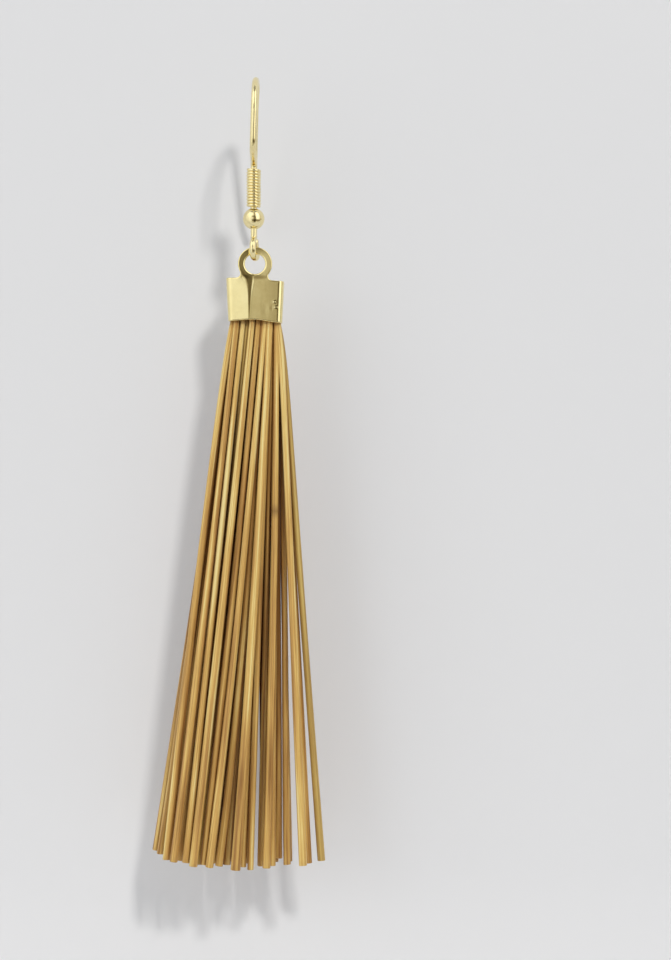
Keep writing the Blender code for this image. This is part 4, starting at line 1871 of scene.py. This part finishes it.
@dataclass
class Studio:
    """A pale wall and floor, soft light from the upper right, and the photograph's camera."""

    wall_y: float = 0.0095
    floor_z: float = -0.104
    cove: float = 0.02
    half_width: float = 0.6
    floor_reach: float = 0.09
    screen_radius: float = 0.7
    camera_place: tuple[float, float, float] = (0.00845, -0.230, -0.04153)
    lens: float = 82.1
    light_target: tuple[float, float, float] = (0.0, 0.0, -0.042)
    lights: tuple[SoftLight, ...] = (
        SoftLight("key", (0.165, -0.42, 0.28), 0.06, 1.34, (1.0, 0.985, 0.96)),
        SoftLight("fill", (-0.34, -0.30, 0.05), 0.34, 0.52, (0.96, 0.98, 1.0)),
        SoftLight("back", (0.24, 0.42, 0.10), 0.30, 0.7, (1.0, 0.99, 0.97)),
    )
    screen_bearings: tuple[tuple[float, float], ...] = (
        (-180, 0.35),
        (-150, 0.9),
        (-110, 0.8),
        (-80, 0.85),
        (-40, 1.15),
        (-12, 0.97),
        (-7, 0.95),
        (-5, 0.9),
        (-3.5, 0.36),
        (-1, 0.5),
        (0, 0.62),
        (2, 0.58),
        (5, 0.44),
        (8, 0.32),
        (9.5, 0.14),
        (20, 0.14),
        (24, 0.5),
        (30, 1.15),
        (48, 1.6),
        (80, 0.5),
        (110, 0.8),
        (150, 0.9),
        (180, 0.35),
    )
    screen_levels: tuple[tuple[float, float], ...] = (
        (-0.9, 0.6),
        (-0.35, 0.85),
        (0.1, 1.0),
        (0.9, 1.4),
    )
    screen_patches: tuple[tuple[tuple[float, ...], tuple[float, ...]], ...] = (
        ((-0.62, -0.5, -0.12, -0.06), (-24, -14, 92, 110)),
        ((0.25, 0.31, 0.50, 0.60), (-22, -16, 14, 24)),
    )

    def build(self) -> None:
        """Makes the stage, the lights and the camera."""
        self.add_wall()
        self.add_screen()
        for light in self.lights:
            light.hang(Vector(self.light_target))
        self.light_world()
        self.add_camera()

    def add_wall(self) -> None:
        """A profile swept sideways: the floor, a quarter circle, and the wall up to its top."""
        bend_middle = (self.wall_y - self.cove, self.floor_z + self.cove)
        bend = arc_points(bend_middle, self.cove, -QUARTER_TURN, 0.0, math.radians(6))
        front = np.array([[-self.floor_reach, self.floor_z]])
        top = np.array([[self.wall_y, self.half_width * 0.7]])
        profile = np.concatenate([front, bend, top])
        count = len(profile)
        points = np.empty((2, count, 3))
        points[..., 0] = np.array([-self.half_width, self.half_width])[:, None]
        points[..., 1:] = profile
        here = np.arange(count - 1)
        quads = np.stack([here, here + count, here + count + 1, here + 1], axis=-1)
        surface = Surface()
        surface.add(points, [quads])
        wall = surface.piece("pale_wall")
        wall.data.materials.append(self.pale_paint())

    @staticmethod
    def pale_paint() -> bpy.types.Material:
        """The wall's paint: matt, a little bright by itself, and clear when seen from behind.

        Returns:
            The material.
        """
        material, shader, build = new_material("pale_paint")
        clouds = build.noise(build.place(), 9.0, detail=2.0)
        paint = build.mix(clouds, (0.63, 0.63, 0.635, 1.0), (0.66, 0.66, 0.665, 1.0))
        build.link(paint, shader.inputs["Base Color"])
        shader.inputs["Emission Color"].default_value = (0.98, 0.985, 1.0, 1.0)
        shader.inputs["Emission Strength"].default_value = 0.15
        shader.inputs["Roughness"].default_value = 0.8
        shader.inputs["Specular IOR Level"].default_value = 0.2
        nodes = material.node_tree.nodes
        mixer = nodes.new("ShaderNodeMixShader")
        build.link(nodes.new("ShaderNodeNewGeometry").outputs["Backfacing"], mixer.inputs[0])
        build.link(shader.outputs[0], mixer.inputs[1])
        build.link(nodes.new("ShaderNodeBsdfTransparent").outputs[0], mixer.inputs[2])
        build.link(mixer.outputs[0], nodes["Material Output"].inputs["Surface"])
        return material

    def add_screen(self) -> None:
        """A tall round screen that only reflections see: bright, with darker stretches.

        Its brightness follows the bearing: near 1 to the left, darkest a little right of the
        camera, and brightest beyond that. The back has its own dark stretches, so that the metal
        keeps its contrast from behind. It also grows with the height, and two patches are darker.
        """
        bearing = np.linspace(-180.0, 180.0, 361)
        height = np.linspace(-0.9, 2.1, 41)
        angle, level = np.meshgrid(np.radians(bearing), height, indexing="ij")
        points = np.stack(
            [
                np.sin(angle) * self.screen_radius,
                -np.cos(angle) * self.screen_radius,
                level * self.screen_radius + self.camera_place[2],
            ],
            axis=-1,
        )
        degrees = np.degrees(angle)
        glow = np.interp(degrees, *np.array(self.screen_bearings).T)
        glow *= np.interp(level, *np.array(self.screen_levels).T)
        trapeze = [0.0, 1.0, 1.0, 0.0]
        for rows, columns in self.screen_patches:
            shade = np.interp(level, rows, trapeze)
            glow *= 1.0 - 0.78 * shade * np.interp(degrees, columns, trapeze)
        faces = ring_faces(len(bearing), len(height))
        faces = faces[(np.arange(len(faces)) % len(height)) != len(height) - 1]
        surface = Surface()
        surface.add(points, [faces], glow=glow)
        screen = surface.piece("reflected_screen")
        screen.data.materials.append(self.screen_glow())
        screen.visible_camera = False
        screen.visible_diffuse = False
        screen.visible_shadow = False
        screen.visible_transmission = False

    @staticmethod
    def screen_glow() -> bpy.types.Material:
        """The screen's light: as strong as the point's own number, and warmer where it is dim.

        Returns:
            The material.
        """
        material = bpy.data.materials.new("screen_glow")
        material.use_nodes = True
        nodes = material.node_tree.nodes
        nodes.remove(nodes["Principled BSDF"])
        build = NodeBuilder(material.node_tree)
        glower = nodes.new("ShaderNodeEmission")
        glow = build.attribute("glow")
        build.link(glow, glower.inputs["Strength"])
        bright = build.remap(glow, 0.1, 0.85, 0.0, 1.0)
        tint = build.mix(bright, (1.0, 0.82, 0.48, 1.0), (0.98, 0.99, 1.0, 1.0))
        build.link(tint, glower.inputs["Color"])
        build.link(glower.outputs[0], nodes["Material Output"].inputs["Surface"])
        return material

    @staticmethod
    def light_world() -> None:
        """Fills the room with an even pale light."""
        world = bpy.data.worlds.new("pale_room")
        world.use_nodes = True
        background = world.node_tree.nodes["Background"]
        background.inputs["Color"].default_value = (0.97, 0.98, 1.0, 1.0)
        background.inputs["Strength"].default_value = 0.35
        bpy.context.scene.world = world
        bpy.context.scene.view_settings.view_transform = "Standard"

    def add_camera(self) -> None:
        """Places the camera straight in front, at the photograph's distance and framing."""
        data = bpy.data.cameras.new("camera")
        data.lens = self.lens
        data.sensor_width = 36.0
        data.clip_start = 0.001
        data.clip_end = 10.0
        camera = bpy.data.objects.new("camera", data)
        camera.location = self.camera_place
        camera.rotation_euler = (QUARTER_TURN, 0.0, 0.0)
        bpy.context.scene.collection.objects.link(camera)
        bpy.context.scene.camera = camera


def finish_piece(
    made: bpy.types.Object, material: bpy.types.Material, body: str, node: str | None
) -> None:
    """Dresses a piece, and says what it rides on and stands for.

    Args:
        made: The piece.
        material: Its material.
        body: The body it moves with.
        node: The node it stands for, if any.
    """
    made.data.materials.append(material)
    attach(made, body)
    if node:
        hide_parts(node)
    LOG.info("%s: %d points, on %s", made.name, len(made.data.vertices), body)


def main() -> None:
    """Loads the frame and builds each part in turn."""
    logging.basicConfig(level=logging.INFO, format="%(message)s")
    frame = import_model()
    pivot = float(frame["joints"][0]["pos_m"][2])
    effects = Effects()
    wire_finish = GoldFinish(
        name="plated_wire",
        bright=(0.95, 0.83, 0.46),
        dull=(0.82, 0.68, 0.34),
        roughness=0.12,
        spread=0.07,
        squeeze=(2500.0, 2500.0, 2500.0),
        line_height=2e-6,
    )
    sheet_finish = GoldFinish(
        name="plated_sheet",
        bright=(0.92, 0.80, 0.41),
        dull=(0.84, 0.70, 0.32),
        roughness=0.085,
        spread=0.05,
        squeeze=(6500.0, 6500.0, 500.0),
        line_height=1.2e-6,
    )
    wire_gold, sheet_gold = wire_finish.make(effects), sheet_finish.make(effects)
    straw = StrawFinish().make(effects)
    wire = EarWire()
    finish_piece(wire.build_hook(), wire_gold, "ear_wire", "ear_hook")
    finish_piece(wire.build_sleeve(), wire_gold, "ear_wire", "hook_coil")
    finish_piece(wire.build_bead(), wire_gold, "ear_wire", "hook_bead")
    cap = Cap(pivot)
    finish_piece(cap.build(), sheet_gold, "drop", "tassel_cap")
    tassel = Tassel(pivot, cap)
    finish_piece(tassel.build_straws(), straw, "drop", "grass_tassel")
    finish_piece(tassel.build_head(), straw, "drop", None)
    Studio().build()


if __name__ == "__main__":
    main()
